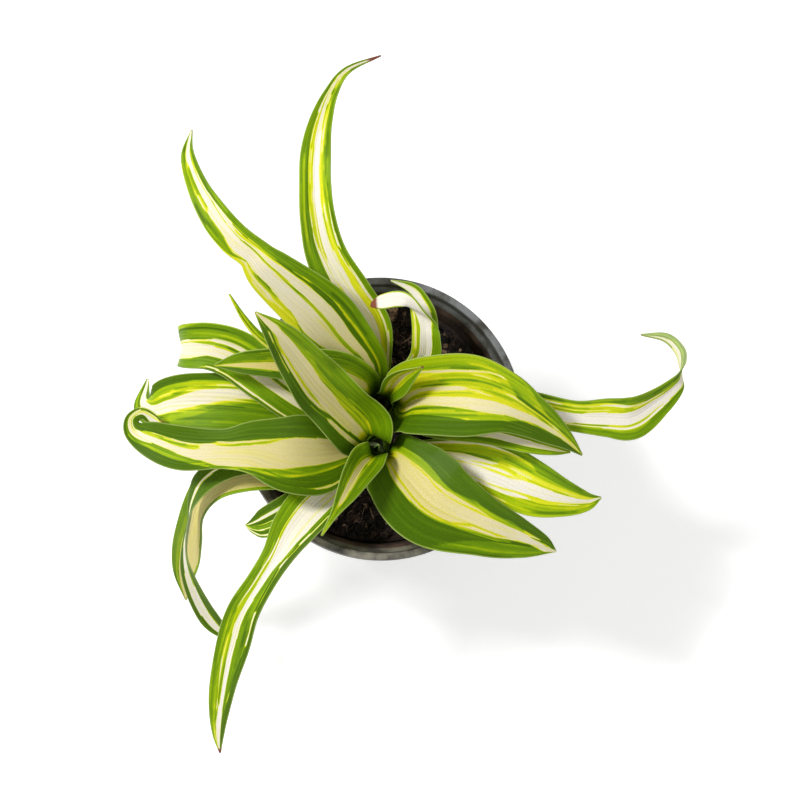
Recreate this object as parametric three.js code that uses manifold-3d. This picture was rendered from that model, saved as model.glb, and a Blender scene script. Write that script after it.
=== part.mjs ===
// A young spider plant in a small plastic nursery pot.
//
// Millimetres, +Z up. The origin is the centre of the pot's flat base, on the surface it stands on.
// +Y is called north and +X east in the names of the leaves.
//
// The pot is a turned shell with drain holes. The soil is a plug with a rough top, and two short
// rootstocks, the crowns, stand in plain holes in it. Every leaf is one blade that starts against
// its crown and follows a hand-drawn arch.

import * as THREE from 'three';
import { mergeVertices } from 'three/addons/utils/BufferGeometryUtils.js';
import Module from 'manifold-3d';

const wasm = await Module();
wasm.setup();

// ---- driving sizes ---------------------------------------------------------------------------

const CLEARANCE = 0.3; // between pieces that touch

const POT = {
  height: 62,
  lipRadius: 35,
  lipInnerRadius: 33.2,
  lipDepth: 4.2,
  shoulderRadius: 32.3, // outside, just under the lip
  baseRadius: 24.5,
  wall: 1.2,
  floor: 1.4,
  sides: 64,
};

const DRAIN = { count: 6, radius: 2.6, circle: 16.5, sides: 16 };

const SOIL = {
  top: 52.6,
  relief: 0.8,
  edgeDip: 0.6, // the top sinks a little towards the wall
  sides: 40,
  rings: 9,
  seed: 7,
};

const CROWN = {
  bottom: 40,
  buriedRadius: 3.0,
  soilRadius: 4.1, // where it leaves the soil
  neckRadius: 2.2, // just under its rounded top
  sides: 18,
};

const crowns = {
  front: { x: -1.2, y: -6.6, top: 63.6 },
  back: { x: 0.3, y: 3.9, top: 62.8 },
};

const BLADE = {
  thickness: 0.7,
  baseWidth: 4.6,
  tipWidth: 0.9,
  stationsPerRow: 2,
  pathSteps: 12, // steps per row in which the blade's frame is carried along its path
  across: [-1, -0.45, 0, 0.45, 1], // places across the blade, in half widths
  keel: 0.3, // how softly the fold rounds at the midrib, in half widths
};

// ---- materials -------------------------------------------------------------------------------

function material(color, roughness) {
  return new THREE.MeshStandardMaterial({ color, roughness, metalness: 0 });
}

const potPlastic = () => material(0x4a4b48, 0.55);
const pottingSoil = () => material(0x1d1511, 0.95);
const crownFlesh = () => material(0xb9c070, 0.5);
const leafGreen = () => material(0x7da61e, 0.42);

// ---- solids ----------------------------------------------------------------------------------

// A closed geometry, with its shared corners merged, as a solid that can be cut.
function solidOf(geometry) {
  const bare = geometry.index ? geometry.toNonIndexed() : geometry.clone();
  bare.deleteAttribute('normal');
  bare.deleteAttribute('uv');
  const merged = mergeVertices(bare, 1e-4);
  const mesh = new wasm.Mesh({
    numProp: 3,
    vertProperties: new Float32Array(merged.attributes.position.array),
    triVerts: new Uint32Array(merged.index.array),
  });
  return new wasm.Manifold(mesh);
}

function geometryOf(solid) {
  const mesh = solid.getMesh();
  const geometry = new THREE.BufferGeometry();
  geometry.setAttribute('position', new THREE.BufferAttribute(mesh.vertProperties, 3));
  geometry.setIndex(new THREE.BufferAttribute(mesh.triVerts, 1));
  geometry.computeVertexNormals();
  return geometry;
}

// A profile of [radius, height] points turned about the +Z axis.
function turned(profile, sides) {
  const points = profile.map(([radius, height]) => new THREE.Vector2(radius, height));
  return new THREE.LatheGeometry(points, sides).rotateX(Math.PI / 2);
}

// A plain upright rod, for cutting a hole.
function rod(radius, bottom, top, sides, x, y) {
  const geometry = new THREE.CylinderGeometry(radius, radius, top - bottom, sides);
  geometry.rotateX(Math.PI / 2).translate(x, y, (top + bottom) / 2);
  return solidOf(geometry);
}

// Radius of the pot's inner wall at a height below the lip.
function potInnerRadius(height) {
  const slope = (POT.shoulderRadius - POT.baseRadius) / (POT.height - POT.lipDepth);
  return POT.baseRadius + slope * height - POT.wall;
}

function potGeometry() {
  const lipBottom = POT.height - POT.lipDepth;
  const round = 0.5;
  const profile = [
    [0, 0],
    [POT.baseRadius - 0.9, 0],
    [POT.baseRadius, 0.9],
    [POT.shoulderRadius, lipBottom - 0.6],
    [POT.lipRadius - 0.3, lipBottom],
    [POT.lipRadius, lipBottom + 0.4],
    [POT.lipRadius, POT.height - round],
    [POT.lipRadius - round, POT.height],
    [POT.lipInnerRadius + round, POT.height],
    [POT.lipInnerRadius, POT.height - round],
    [POT.lipInnerRadius - 0.2, lipBottom + 1.2],
    [potInnerRadius(lipBottom - 1.2), lipBottom - 1.2],
    [potInnerRadius(POT.floor + 0.8), POT.floor + 0.8],
    [potInnerRadius(POT.floor) - 0.8, POT.floor],
    [0, POT.floor],
  ];
  let pot = solidOf(turned(profile, POT.sides));
  for (let hole = 0; hole < DRAIN.count; hole += 1) {
    const angle = (2 * Math.PI * hole) / DRAIN.count;
    const x = DRAIN.circle * Math.cos(angle);
    const y = DRAIN.circle * Math.sin(angle);
    pot = pot.subtract(rod(DRAIN.radius, -1, POT.floor + 1, DRAIN.sides, x, y));
  }
  return geometryOf(pot);
}

// ---- soil ------------------------------------------------------------------------------------

// A repeatable number from -1 to 1 for a place on the soil's grid.
function roughness(ring, side) {
  const mixed = Math.sin(ring * 127.1 + side * 311.7 + SOIL.seed * 74.7) * 43758.5453;
  return 2 * (mixed - Math.floor(mixed)) - 1;
}

function soilGeometry() {
  const bottom = POT.floor + CLEARANCE;
  const topRadius = potInnerRadius(SOIL.top) - CLEARANCE - 0.1;
  const bottomRadius = potInnerRadius(bottom) - CLEARANCE - 1.1;
  const positions = [0, 0, SOIL.top];
  for (let ring = 1; ring <= SOIL.rings; ring += 1) {
    const share = ring / SOIL.rings;
    for (let side = 0; side < SOIL.sides; side += 1) {
      const angle = (2 * Math.PI * side) / SOIL.sides;
      const radius = topRadius * share;
      const rise = SOIL.relief * roughness(ring, side) * Math.min(1, 2 * share);
      const height = SOIL.top + (ring < SOIL.rings ? rise : -SOIL.edgeDip);
      positions.push(radius * Math.cos(angle), radius * Math.sin(angle), height);
    }
  }
  for (let side = 0; side < SOIL.sides; side += 1) {
    const angle = (2 * Math.PI * side) / SOIL.sides;
    positions.push(bottomRadius * Math.cos(angle), bottomRadius * Math.sin(angle), bottom);
  }
  positions.push(0, 0, bottom);
  const at = (ring, side) => 1 + (ring - 1) * SOIL.sides + (side % SOIL.sides);
  const lowest = 1 + (SOIL.rings + 1) * SOIL.sides;
  const index = [];
  for (let side = 0; side < SOIL.sides; side += 1) {
    index.push(0, at(1, side), at(1, side + 1));
    for (let ring = 1; ring <= SOIL.rings; ring += 1) {
      const [a, b] = [at(ring, side), at(ring, side + 1)];
      const [c, d] = [at(ring + 1, side + 1), at(ring + 1, side)];
      index.push(a, d, c, a, c, b);
    }
    index.push(at(SOIL.rings + 1, side), lowest, at(SOIL.rings + 1, side + 1));
  }
  const plug = new THREE.BufferGeometry();
  plug.setAttribute('position', new THREE.Float32BufferAttribute(positions, 3));
  plug.setIndex(index);
  let soil = solidOf(plug);
  for (const { x, y } of Object.values(crowns)) {
    const radius = CROWN.soilRadius + CLEARANCE;
    soil = soil.subtract(rod(radius, CROWN.bottom - CLEARANCE, POT.height, 24, x, y));
  }
  return geometryOf(soil);
}

// ---- crowns ----------------------------------------------------------------------------------

// Radius of a crown above the soil, which narrows evenly up to its neck.
function crownRadius(crown, height) {
  const share = (height - SOIL.top) / (crown.top - 1.2 - SOIL.top);
  return CROWN.soilRadius + (CROWN.neckRadius - CROWN.soilRadius) * share;
}

function crownGeometry(crown) {
  const profile = [
    [0, CROWN.bottom],
    [CROWN.buriedRadius * 0.6, CROWN.bottom],
    [CROWN.buriedRadius, CROWN.bottom + 2],
    [CROWN.soilRadius, SOIL.top],
    [CROWN.neckRadius, crown.top - 1.2],
    [CROWN.neckRadius * 0.6, crown.top - 0.3],
    [0, crown.top],
  ];
  return turned(profile, CROWN.sides).translate(crown.x, crown.y, 0);
}

// ---- leaves ----------------------------------------------------------------------------------

// The row of numbers at a place along a list of rows, by a smooth curve through all of them.
function rowAt(rows, place) {
  const last = rows.length - 1;
  const before = Math.min(Math.max(Math.floor(place), 0), last - 1);
  const t = place - before;
  const beyond = (a, b) => a.map((value, column) => 2 * value - b[column]);
  const p0 = before > 0 ? rows[before - 1] : beyond(rows[0], rows[1]);
  const [p1, p2] = [rows[before], rows[before + 1]];
  const p3 = before + 2 <= last ? rows[before + 2] : beyond(rows[last], rows[last - 1]);
  return p1.map((value, column) => {
    const [a, b, c, d] = [p0[column], value, p2[column], p3[column]];
    const cubic = -a + 3 * b - 3 * c + d;
    const square = 2 * a - 5 * b + 4 * c - d;
    return 0.5 * (2 * b + t * (c - a + t * (square + t * cubic)));
  });
}

function pointAt(rows, place) {
  const [x, y, z] = rowAt(rows, place);
  return new THREE.Vector3(x, y, z);
}

// Stations along a blade, each with its place, its own three directions, width, fold and distance.
// The side direction starts level at the crown and is carried along the path without twist.
function stationsOf(rows, azimuth) {
  const side = new THREE.Vector3(Math.sin(azimuth), -Math.cos(azimuth), 0);
  const stations = [];
  const every = BLADE.pathSteps / BLADE.stationsPerRow;
  let distance = 0;
  for (let step = 0; step <= (rows.length - 1) * BLADE.pathSteps; step += 1) {
    const place = step / BLADE.pathSteps;
    const row = rowAt(rows, place);
    const point = new THREE.Vector3(row[0], row[1], row[2]);
    const reach = 0.5 / BLADE.pathSteps;
    const along = pointAt(rows, place + reach).sub(pointAt(rows, place - reach)).normalize();
    side.addScaledVector(along, -side.dot(along)).normalize();
    if (step > 0) distance += point.distanceTo(pointAt(rows, place - 1 / BLADE.pathSteps));
    if (step % every !== 0) continue;
    const roll = THREE.MathUtils.degToRad(row[4]);
    const up = side.clone().cross(along);
    const right = side.clone().multiplyScalar(Math.cos(roll)).addScaledVector(up, Math.sin(roll));
    const face = right.clone().cross(along);
    const fold = THREE.MathUtils.degToRad(row[5]);
    stations.push({ point, right, face, width: row[3], fold, distance });
  }
  return stations;
}

// One closed blade. Its section is a channel with a rounded keel, and its margins may wave.
// Both faces are split into triangles along the same diagonals.
function bladeGeometry(stations, wave) {
  const total = stations[stations.length - 1].distance;
  const count = BLADE.across.length;
  const positions = { top: [], bottom: [] };
  for (const { point, right, face, width, fold, distance } of stations) {
    const half = width / 2;
    const ramp = Math.sin(Math.PI * Math.min(1, Math.max(0, distance / total)));
    for (const u of BLADE.across) {
      const ripple = Math.sin((2 * Math.PI * distance) / wave.length + (u < 0 ? 2 : 0));
      const soft = Math.hypot(u, BLADE.keel);
      const rim = Math.hypot(1, BLADE.keel) - BLADE.keel;
      const lift = (half * Math.sin(fold) * (soft - BLADE.keel)) / rim
        + wave.height * ramp * ripple * Math.abs(u) ** 3;
      const slope = (Math.sin(fold) * u) / soft / rim;
      const centre = point.clone();
      centre.addScaledVector(right, u * half * Math.cos(fold)).addScaledVector(face, lift);
      const normal = face.clone().multiplyScalar(Math.cos(fold)).addScaledVector(right, -slope);
      normal.normalize().multiplyScalar(BLADE.thickness / 2);
      positions.top.push(...centre.clone().add(normal).toArray());
      positions.bottom.push(...centre.clone().sub(normal).toArray());
    }
  }
  const top = (station, i) => station * count + i;
  const bottom = (station, i) => (stations.length + station) * count + i;
  const index = [];
  const last = stations.length - 1;
  for (let j = 0; j < last; j += 1) {
    for (let i = 0; i + 1 < count; i += 1) {
      index.push(top(j, i), top(j, i + 1), top(j + 1, i + 1));
      index.push(top(j, i), top(j + 1, i + 1), top(j + 1, i));
      index.push(bottom(j, i), bottom(j + 1, i + 1), bottom(j, i + 1));
      index.push(bottom(j, i), bottom(j + 1, i), bottom(j + 1, i + 1));
    }
    index.push(top(j, 0), top(j + 1, 0), bottom(j + 1, 0));
    index.push(top(j, 0), bottom(j + 1, 0), bottom(j, 0));
    const edge = count - 1;
    index.push(top(j, edge), bottom(j + 1, edge), top(j + 1, edge));
    index.push(top(j, edge), bottom(j, edge), bottom(j + 1, edge));
  }
  for (let i = 0; i + 1 < count; i += 1) {
    index.push(top(0, i), bottom(0, i), bottom(0, i + 1));
    index.push(top(0, i), bottom(0, i + 1), top(0, i + 1));
    index.push(top(last, i), bottom(last, i + 1), bottom(last, i));
    index.push(top(last, i), top(last, i + 1), bottom(last, i + 1));
  }
  const geometry = new THREE.BufferGeometry();
  const all = positions.top.concat(positions.bottom);
  geometry.setAttribute('position', new THREE.Float32BufferAttribute(all, 3));
  geometry.setIndex(index);
  geometry.computeVertexNormals();
  return geometry;
}

// A leaf starts against its crown, at an azimuth (degrees from east, anticlockwise) and a height.
// Each later row is [x, y, z, width, roll, fold]: roll lifts the right margin, seen from the crown
// towards the tip, and fold lifts both margins, in degrees.
function leafStations(leaf) {
  const { crown, azimuth, height, reach, rows } = leaf;
  const { baseWidth = BLADE.baseWidth, baseFold = 18 } = leaf;
  const angle = THREE.MathUtils.degToRad(azimuth);
  const stock = crowns[crown];
  const beside = crownRadius(stock, height) + CLEARANCE + BLADE.thickness * 0.6;
  const from = reach ?? beside;
  const x = stock.x + from * Math.cos(angle);
  const y = stock.y + from * Math.sin(angle);
  return stationsOf([[x, y, height, baseWidth, 0, baseFold], ...rows], angle);
}

// A leaf that folds over on a slant is drawn by its margins instead:
// each row is [left x, y, z, right x, y, z, fold].
function marginStations({ margins }) {
  const stations = [];
  const steps = (margins.length - 1) * BLADE.stationsPerRow;
  const ends = (place) => {
    const row = rowAt(margins, place);
    return [new THREE.Vector3(...row.slice(0, 3)), new THREE.Vector3(...row.slice(3, 6)), row[6]];
  };
  const middle = (place) => {
    const [left, right] = ends(place);
    return left.add(right).multiplyScalar(0.5);
  };
  let distance = 0;
  for (let step = 0; step <= steps; step += 1) {
    const place = step / BLADE.stationsPerRow;
    const [left, right, foldDegrees] = ends(place);
    const reach = 0.5 / BLADE.pathSteps;
    const along = middle(place + reach).sub(middle(place - reach)).normalize();
    const width = left.distanceTo(right);
    const across = right.sub(left).normalize();
    const face = across.clone().cross(along).normalize();
    const point = middle(place);
    if (step > 0) distance += point.distanceTo(middle(place - 1 / BLADE.stationsPerRow));
    const fold = THREE.MathUtils.degToRad(foldDegrees);
    stations.push({ point, right: across, face, width, fold, distance });
  }
  return stations;
}

function leafGeometry(leaf) {
  const [height, length] = leaf.wave ?? [0, 20];
  const stations = leaf.margins ? marginStations(leaf) : leafStations(leaf);
  return bladeGeometry(stations, { height, length });
}

const TIP = BLADE.tipWidth;

const leaves = {
  // --- the back shoot ---
  leaf_north_long: {
    crown: 'back', azimuth: 99, height: 56.2, wave: [0.4, 26],
    rows: [
      [-0.8, 14.6, 61.8, 6.4, 0, 16],
      [-3.2, 22.2, 67.6, 10.4, 0, 16],
      [-9.2, 29.8, 73.4, 11.8, 0, 16],
      [-14.7, 38.1, 79, 10.3, 0, 17],
      [-17.1, 46.3, 83.4, 8.8, 0, 17],
      [-17.8, 54, 85.6, 7.8, 0, 16],
      [-17.6, 61.4, 85.8, 7.4, 0, 14],
      [-16.3, 69, 84.2, 5.6, 0, 12],
      [-13.4, 77.2, 80.4, 3.4, 0, 10],
      [-9, 83.9, 76, 2, 0, 10],
      [-0.2, 89, 70, TIP, 0, 8],
    ],
  },
  leaf_northwest_broad: {
    crown: 'back', azimuth: 123, height: 58, wave: [0.5, 30],
    rows: [
      [-3.4, 12.6, 64.6, 9.5, 0, 20],
      [-10.2, 18.7, 71.4, 14.5, 0, 18],
      [-17.4, 25, 78.6, 15.4, 0, 15],
      [-28.6, 32.7, 86.2, 11.6, 0, 12],
      [-32.9, 36.9, 88, 8, 0, 12],
      [-37.3, 40.2, 89, 7.8, 0, 12],
      [-41.6, 45.3, 89, 7.2, 0, 14],
      [-45.7, 52.8, 87, 5.2, 0, 12],
      [-48, 61.3, 82.5, 3.2, 0, 10],
      [-47, 68.4, 78, TIP, 0, 8],
    ],
  },
  leaf_northwest_sliver: {
    crown: 'back', azimuth: 168, height: 56,
    rows: [
      [-9.3, 7.6, 65, 3.4, 0, 16],
      [-20.7, 12.2, 72.6, 3, 0, 16],
      [-29.5, 17.3, 76.4, 2.2, 0, 12],
      [-34.2, 22, 78, 1.6, 0, 10],
      [-38.2, 28.2, 80, TIP, 0, 8],
    ],
  },
  leaf_west_narrow: {
    crown: 'back', azimuth: 146, height: 59.8,
    rows: [
      [-4.8, 8.4, 67.6, 7.5, 0, 26],
      [-11.3, 10.9, 73, 9.4, 0, 22],
      [-21, 11.7, 76.6, 8.8, 0, 18],
      [-28.8, 12, 78, 7.2, 0, 16],
      [-35.7, 11.9, 78.2, 5, 0, 14],
      [-41.7, 11.3, 77.2, TIP, 0, 10],
    ],
  },
  leaf_north_folded: {
    margins: [
      [2.2, 8.5, 58.6, 5.3, 5.5, 58.6, 14],
      [4.6, 12.6, 65, 10, 10.4, 65.4, 14],
      [6.4, 15.4, 70, 13.6, 14.6, 70.6, 12],
      [6.5, 19.4, 73.6, 13.3, 18.6, 74, 10],
      [6.2, 22.8, 75.6, 12.7, 20.6, 75, 6],
      [5.7, 25.2, 77.2, 12, 21.8, 76.2, 0],
      [4.8, 25.6, 78.6, 9.2, 24, 79.4, 0],
      [3.6, 25.4, 79.4, 5.8, 27.6, 81.4, 2],
      [1.8, 25.3, 79.2, 2.6, 29, 80.4, 4],
      [-1.4, 25, 78.2, -1.6, 28.2, 78.8, 4],
      [-4, 25.6, 77.3, -3.9, 26.5, 77.3, 2],
    ],
  },
  leaf_north_small: {
    crown: 'back', azimuth: 62, height: 54.6, baseFold: 12,
    rows: [
      [8, 13, 60.6, 4.6, 0, 14],
      [10.8, 18.6, 66.6, 5, 0, 12],
      [11.1, 24.2, 69.8, 4, 0, 10],
      [9.3, 28.2, 71.8, 3.2, 0, 10],
      [6.4, 31, 73, 2.8, 0, 10],
      [1.4, 32.5, 73.8, TIP, 0, 8],
    ],
  },
  leaf_northeast_young: {
    crown: 'back', azimuth: 48, height: 63.2, reach: 1.4,
    rows: [
      [1.8, 6, 67.6, 6, 0, 48],
      [3.3, 7.8, 74, 7.8, 0, 38],
      [5, 9.1, 79.4, 5.6, 0, 34],
      [7.8, 10.1, 86, TIP, 0, 40],
    ],
  },
  leaf_east_broad: {
    crown: 'back', azimuth: 2, height: 60.2, wave: [0.5, 24],
    rows: [
      [5.2, 2.4, 65.4, 15, 0, 36],
      [8, 3.6, 70.6, 20.4, 0, 36],
      [12.4, 3.8, 75.4, 21.4, 0, 28],
      [20.6, 3.5, 79, 20.4, 0, 16],
      [28, 1.9, 79.8, 15.4, 0, 14],
      [33.9, -0.9, 78.6, 11, 0, 14],
      [39.4, -3.9, 76, 7.8, 0, 14],
      [44.2, -6.8, 73.6, 4, 0, 12],
      [48.3, -9.9, 70.4, TIP, 0, 10],
    ],
  },
  leaf_east_hidden: {
    crown: 'back', azimuth: 326, height: 57.2,
    rows: [
      [12.4, -2.8, 66, 5.6, 0, 12],
      [24.9, -4.4, 72.2, 6.8, 0, 10],
      [34.6, -6.8, 72.8, 6.2, 0, 10],
      [41, -8.2, 71.2, 3.8, 0, 8],
      [45.6, -9.1, 69.2, TIP, 0, 8],
    ],
  },
  leaf_east_curled: {
    crown: 'back', azimuth: 4, height: 55.4, wave: [0.4, 22],
    rows: [
      [11, 4.8, 61.6, 6.5, 0, 12],
      [23, 3.8, 67, 8.4, 0, 12],
      [35.1, 2, 68.8, 8.2, 0, 12],
      [46.4, -0.1, 68.4, 7.6, 0, 12],
      [54.8, -0.4, 67, 9.6, 0, 14],
      [61.6, -0.3, 65.6, 10.8, 0, 16],
      [68.8, 4.1, 62.6, 7.4, 0, 18],
      [74, 8.4, 60.2, 5.2, -8, 16],
      [75.4, 11, 58.8, 4.2, -28, 12],
      [76.1, 14.4, 57.5, 3.2, -72, 8],
      [75.6, 17.6, 56.7, 2.9, -98, 8],
      [72.4, 20.8, 56, 2.3, -103, 6],
      [66.2, 21.6, 55.6, TIP, -103, 4],
    ],
  },

  // --- the front shoot ---
  leaf_northwest_upright: {
    crown: 'front', azimuth: 126, height: 62, reach: 3.2, wave: [0.9, 17],
    rows: [
      [-4.2, -4.2, 66, 13.2, 12, 48],
      [-6.8, -1.8, 70.8, 18, 0, 36],
      [-12, 2.2, 77.4, 16, 0, 28],
      [-17, 6, 84, 14.4, 0, 20],
      [-21.3, 10.3, 90, 12.2, 0, 18],
      [-27.4, 16.3, 98, 7.4, 0, 16],
      [-33, 21, 102, TIP, 0, 12],
    ],
  },
  leaf_west_hanging: {
    crown: 'front', azimuth: 136, height: 58.6, wave: [0.4, 22],
    rows: [
      [-11.5, -1, 64.4, 8, 0, 14],
      [-20.6, 3.8, 68.2, 12, 0, 14],
      [-29.4, 9.8, 70.2, 12.8, 0, 14],
      [-36.3, 14.6, 70.8, 12.4, 0, 14],
      [-42, 16.6, 70.2, 11.6, 0, 14],
      [-47.2, 17, 68, 11, 0, 16],
      [-48.9, 17.3, 63, 9.6, 0, 16],
      [-48.2, 17.4, 53, 6.6, 0, 12],
      [-46.4, 17.8, 43.6, 3.4, 0, 8],
      [-45, 18, 38, TIP, 0, 8],
    ],
  },
  leaf_west_bent: {
    crown: 'front', azimuth: 154, height: 57.2, wave: [0.6, 20],
    rows: [
      [-12.6, -1.6, 62.4, 7, 0, 12],
      [-23, 1.2, 65, 11, 0, 10],
      [-35.3, 3, 66.6, 14, 0, 10],
      [-45, 3.6, 65.4, 14.2, 0, 10],
      [-51.6, 3.5, 62.8, 13, 0, 10],
      [-55.8, 2.8, 59.4, 10, 0, 10],
      [-58.4, 4.6, 55.8, 5.2, -36, 10],
      [-57.4, 10.8, 51.6, TIP, -56, 8],
    ],
  },
  leaf_west_low: {
    crown: 'front', azimuth: 170, height: 54.4, baseWidth: 3.6,
    rows: [
      [-14, -4.2, 59.2, 6, 0, 12],
      [-24, -2.4, 62.8, 9, 0, 10],
      [-34, -1.6, 63.6, 8.4, 0, 10],
      [-42, -2, 61.6, 5, 0, 8],
      [-47, -3, 59, TIP, 0, 8],
    ],
  },
  leaf_west_broad: {
    crown: 'front', azimuth: 186, height: 60, wave: [0.5, 24],
    rows: [
      [-10, -9, 65.8, 12, 0, 16],
      [-16.8, -10.2, 71, 19, 0, 14],
      [-24.2, -10.2, 74.8, 19.4, 0, 14],
      [-32.2, -8.7, 75.8, 13.6, 0, 14],
      [-39.3, -8.8, 75.2, 10, 0, 14],
      [-48.8, -8.6, 73, 11, 0, 16],
      [-56, -6.2, 70, 9.2, 0, 16],
      [-60.4, -3.8, 68, 5.8, -14, 14],
      [-61.3, -0.9, 67, 3.4, -34, 8],
      [-59, 0.8, 66.6, 2.7, -46, 6],
      [-56.2, -0.6, 66.2, 2.7, -54, 6],
      [-53.3, -2.4, 66.6, TIP, -54, 4],
    ],
  },
  leaf_southwest_drooping: {
    crown: 'front', azimuth: 207, height: 56,
    rows: [
      [-12.6, -11.4, 61.2, 6.6, 0, 12],
      [-23, -12.8, 64.6, 10, 0, 12],
      [-33.6, -12.8, 65.6, 12, 0, 12],
      [-40.8, -15.4, 62, 10.6, 0, 14],
      [-44.9, -20.6, 54.6, 8.4, 6, 14],
      [-46.5, -26.8, 45.4, 8.4, 24, 10],
      [-47.4, -32.2, 36.8, 8.2, 32, 8],
      [-48, -37.4, 30, 5.6, 34, 8],
      [-47.4, -43.3, 23.6, TIP, 34, 8],
    ],
  },
  leaf_southwest_twisted: {
    crown: 'front', azimuth: 205, height: 58.6, baseWidth: 3.4,
    rows: [
      [-12.6, -10.2, 64.2, 4.6, 0, 12],
      [-25, -10.8, 68.6, 6, 0, 12],
      [-36.4, -12, 69.6, 6.2, 0, 12],
      [-43.4, -15.4, 67.4, 5.6, 8, 14],
      [-46.4, -20.4, 62, 4.8, -24, 14],
      [-47.4, -25.8, 56, 4, -42, 12],
      [-48, -31.4, 48.8, 3.8, -22, 10],
      [-47, -37.4, 41, 4.2, 24, 10],
      [-44, -44.2, 32.4, 4.8, 52, 10],
      [-40.2, -49.6, 26.4, 4.6, 62, 10],
      [-34.8, -54.4, 21.4, TIP, 62, 8],
    ],
  },
  leaf_southwest_short: {
    crown: 'front', azimuth: 232, height: 54.6, baseWidth: 3.6,
    rows: [
      [-10.6, -15, 59, 5.6, 0, 12],
      [-18.8, -20.2, 64, 7.6, 0, 12],
      [-25, -24, 65.4, 8, 0, 12],
      [-29.2, -26, 63.6, 7, 0, 12],
      [-31.6, -26.4, 61.4, 4, 0, 10],
      [-33.6, -26.2, 59.4, TIP, 0, 8],
    ],
  },
  leaf_southwest_long: {
    crown: 'front', azimuth: 243, height: 57.3, wave: [0.4, 24],
    rows: [
      [-8.6, -14.8, 62.6, 8, 0, 12],
      [-16.6, -21.2, 67.8, 12.2, 0, 14],
      [-22.3, -27.7, 69.8, 11, 0, 16],
      [-26.4, -34.4, 70.4, 8, 0, 22],
      [-30.2, -40.5, 69.4, 7.6, 0, 24],
      [-34.3, -47.5, 67, 8.2, 0, 18],
      [-36.7, -55.4, 62.6, 8.6, 0, 14],
      [-38.8, -64.2, 57, 7, 0, 14],
      [-39.9, -71.9, 51.6, 5, 0, 12],
      [-40, -77.5, 47.4, 2.9, 0, 10],
      [-39.5, -81.8, 44, TIP, 0, 8],
    ],
  },
  leaf_southwest_young: {
    crown: 'front', azimuth: 240, height: 63.4, reach: 2.6,
    rows: [
      [-3.1, -10.3, 68, 8.2, 0, 48],
      [-5.4, -12.4, 73, 9.6, 0, 32],
      [-8.3, -16.2, 80, 7.8, 0, 24],
      [-11.2, -20.8, 86, 5, 0, 18],
      [-14, -25.2, 89.6, 1.9, 0, 14],
      [-17.2, -30.4, 91, TIP, 0, 12],
    ],
  },
  leaf_southeast_broad: {
    crown: 'front', azimuth: 300, height: 59.6, wave: [0.5, 26],
    rows: [
      [2.2, -10.7, 65.8, 14.2, -12, 30],
      [5.4, -16, 71, 22.2, 0, 20],
      [11.4, -22.6, 74, 23.4, 0, 14],
      [22.8, -27.6, 73.8, 16, 0, 14],
      [32, -30.3, 71, 10.2, 0, 14],
      [38.8, -31.8, 68, 4.8, 0, 12],
      [42.2, -33.2, 66, TIP, 0, 10],
    ],
  },
  leaf_southeast_lower: {
    crown: 'front', azimuth: 336, height: 57, wave: [0.4, 24],
    rows: [
      [9, -9.4, 60.8, 8, 0, 12],
      [18.5, -11.2, 64.6, 12.4, 0, 12],
      [27.6, -13.8, 66.8, 15, 0, 12],
      [36.3, -18, 67.2, 14, 0, 12],
      [44, -20.2, 65.6, 9.4, 0, 14],
      [50.3, -20.8, 63.2, 4.8, 0, 12],
      [54.4, -19.8, 61.4, TIP, 0, 10],
    ],
  },
  leaf_spear: {
    crown: 'front', azimuth: 60, height: 64.3, reach: 0,
    rows: [
      [-1.4, -7.1, 67, 3, 0, 60],
      [-1.7, -7.4, 70.6, TIP, 0, 50],
    ],
  },
};

// ---- the plant in its pot --------------------------------------------------------------------

const plant = new THREE.Group();

function place(name, geometry, finish) {
  const mesh = new THREE.Mesh(geometry, finish);
  mesh.name = name;
  plant.add(mesh);
}

place('pot', potGeometry(), potPlastic());
place('soil', soilGeometry(), pottingSoil());
for (const [name, crown] of Object.entries(crowns)) {
  place(`crown_${name}`, crownGeometry(crown), crownFlesh());
}
for (const [name, leaf] of Object.entries(leaves)) {
  place(name, leafGeometry(leaf), leafGreen());
}

export default plant;
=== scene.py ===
# %% [markdown]
# # A young spider plant in its nursery pot
#
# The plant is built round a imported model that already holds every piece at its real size: a thin
# plastic pot, its soil, two short rootstocks and 23 leaves. Here each piece gets the surface that
# the real one has. All lengths are in metres, +Z is up, and +Y is called north.

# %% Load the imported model
import math

import bpy
import numpy as np
from mathutils import Matrix, Vector, noise


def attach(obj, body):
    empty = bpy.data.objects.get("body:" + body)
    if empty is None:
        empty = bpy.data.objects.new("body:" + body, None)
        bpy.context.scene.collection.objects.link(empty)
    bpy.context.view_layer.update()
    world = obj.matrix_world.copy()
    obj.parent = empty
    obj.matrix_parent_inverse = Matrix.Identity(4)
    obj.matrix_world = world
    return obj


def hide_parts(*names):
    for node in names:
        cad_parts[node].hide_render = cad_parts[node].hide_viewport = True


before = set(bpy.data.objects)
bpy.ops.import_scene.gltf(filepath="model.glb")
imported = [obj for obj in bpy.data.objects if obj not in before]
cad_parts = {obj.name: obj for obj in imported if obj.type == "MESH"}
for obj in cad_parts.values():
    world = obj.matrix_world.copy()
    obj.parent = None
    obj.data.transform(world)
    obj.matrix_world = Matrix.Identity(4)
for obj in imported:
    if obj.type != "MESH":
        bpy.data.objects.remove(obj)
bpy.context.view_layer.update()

MM = 0.001

# %% [markdown]
# ## The view
#
# The plant is seen almost straight from above, so the camera hangs over the pot's rim and leans a
# little to the south-west. A long lens keeps the leaves from swelling towards the viewer. Its focal
# length follows from how many picture pixels one millimetre at the rim takes.

# %% Camera
RIM_HEIGHT = 62 * MM
EYE_DISTANCE = 700 * MM
LEAN = math.radians(8)
PIXELS_PER_MM = 4.06
FRAME_PIXELS = 800
RIM_OFFSET_PIXELS = 18  # the rim's centre lies this far left of and below the frame's centre

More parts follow.
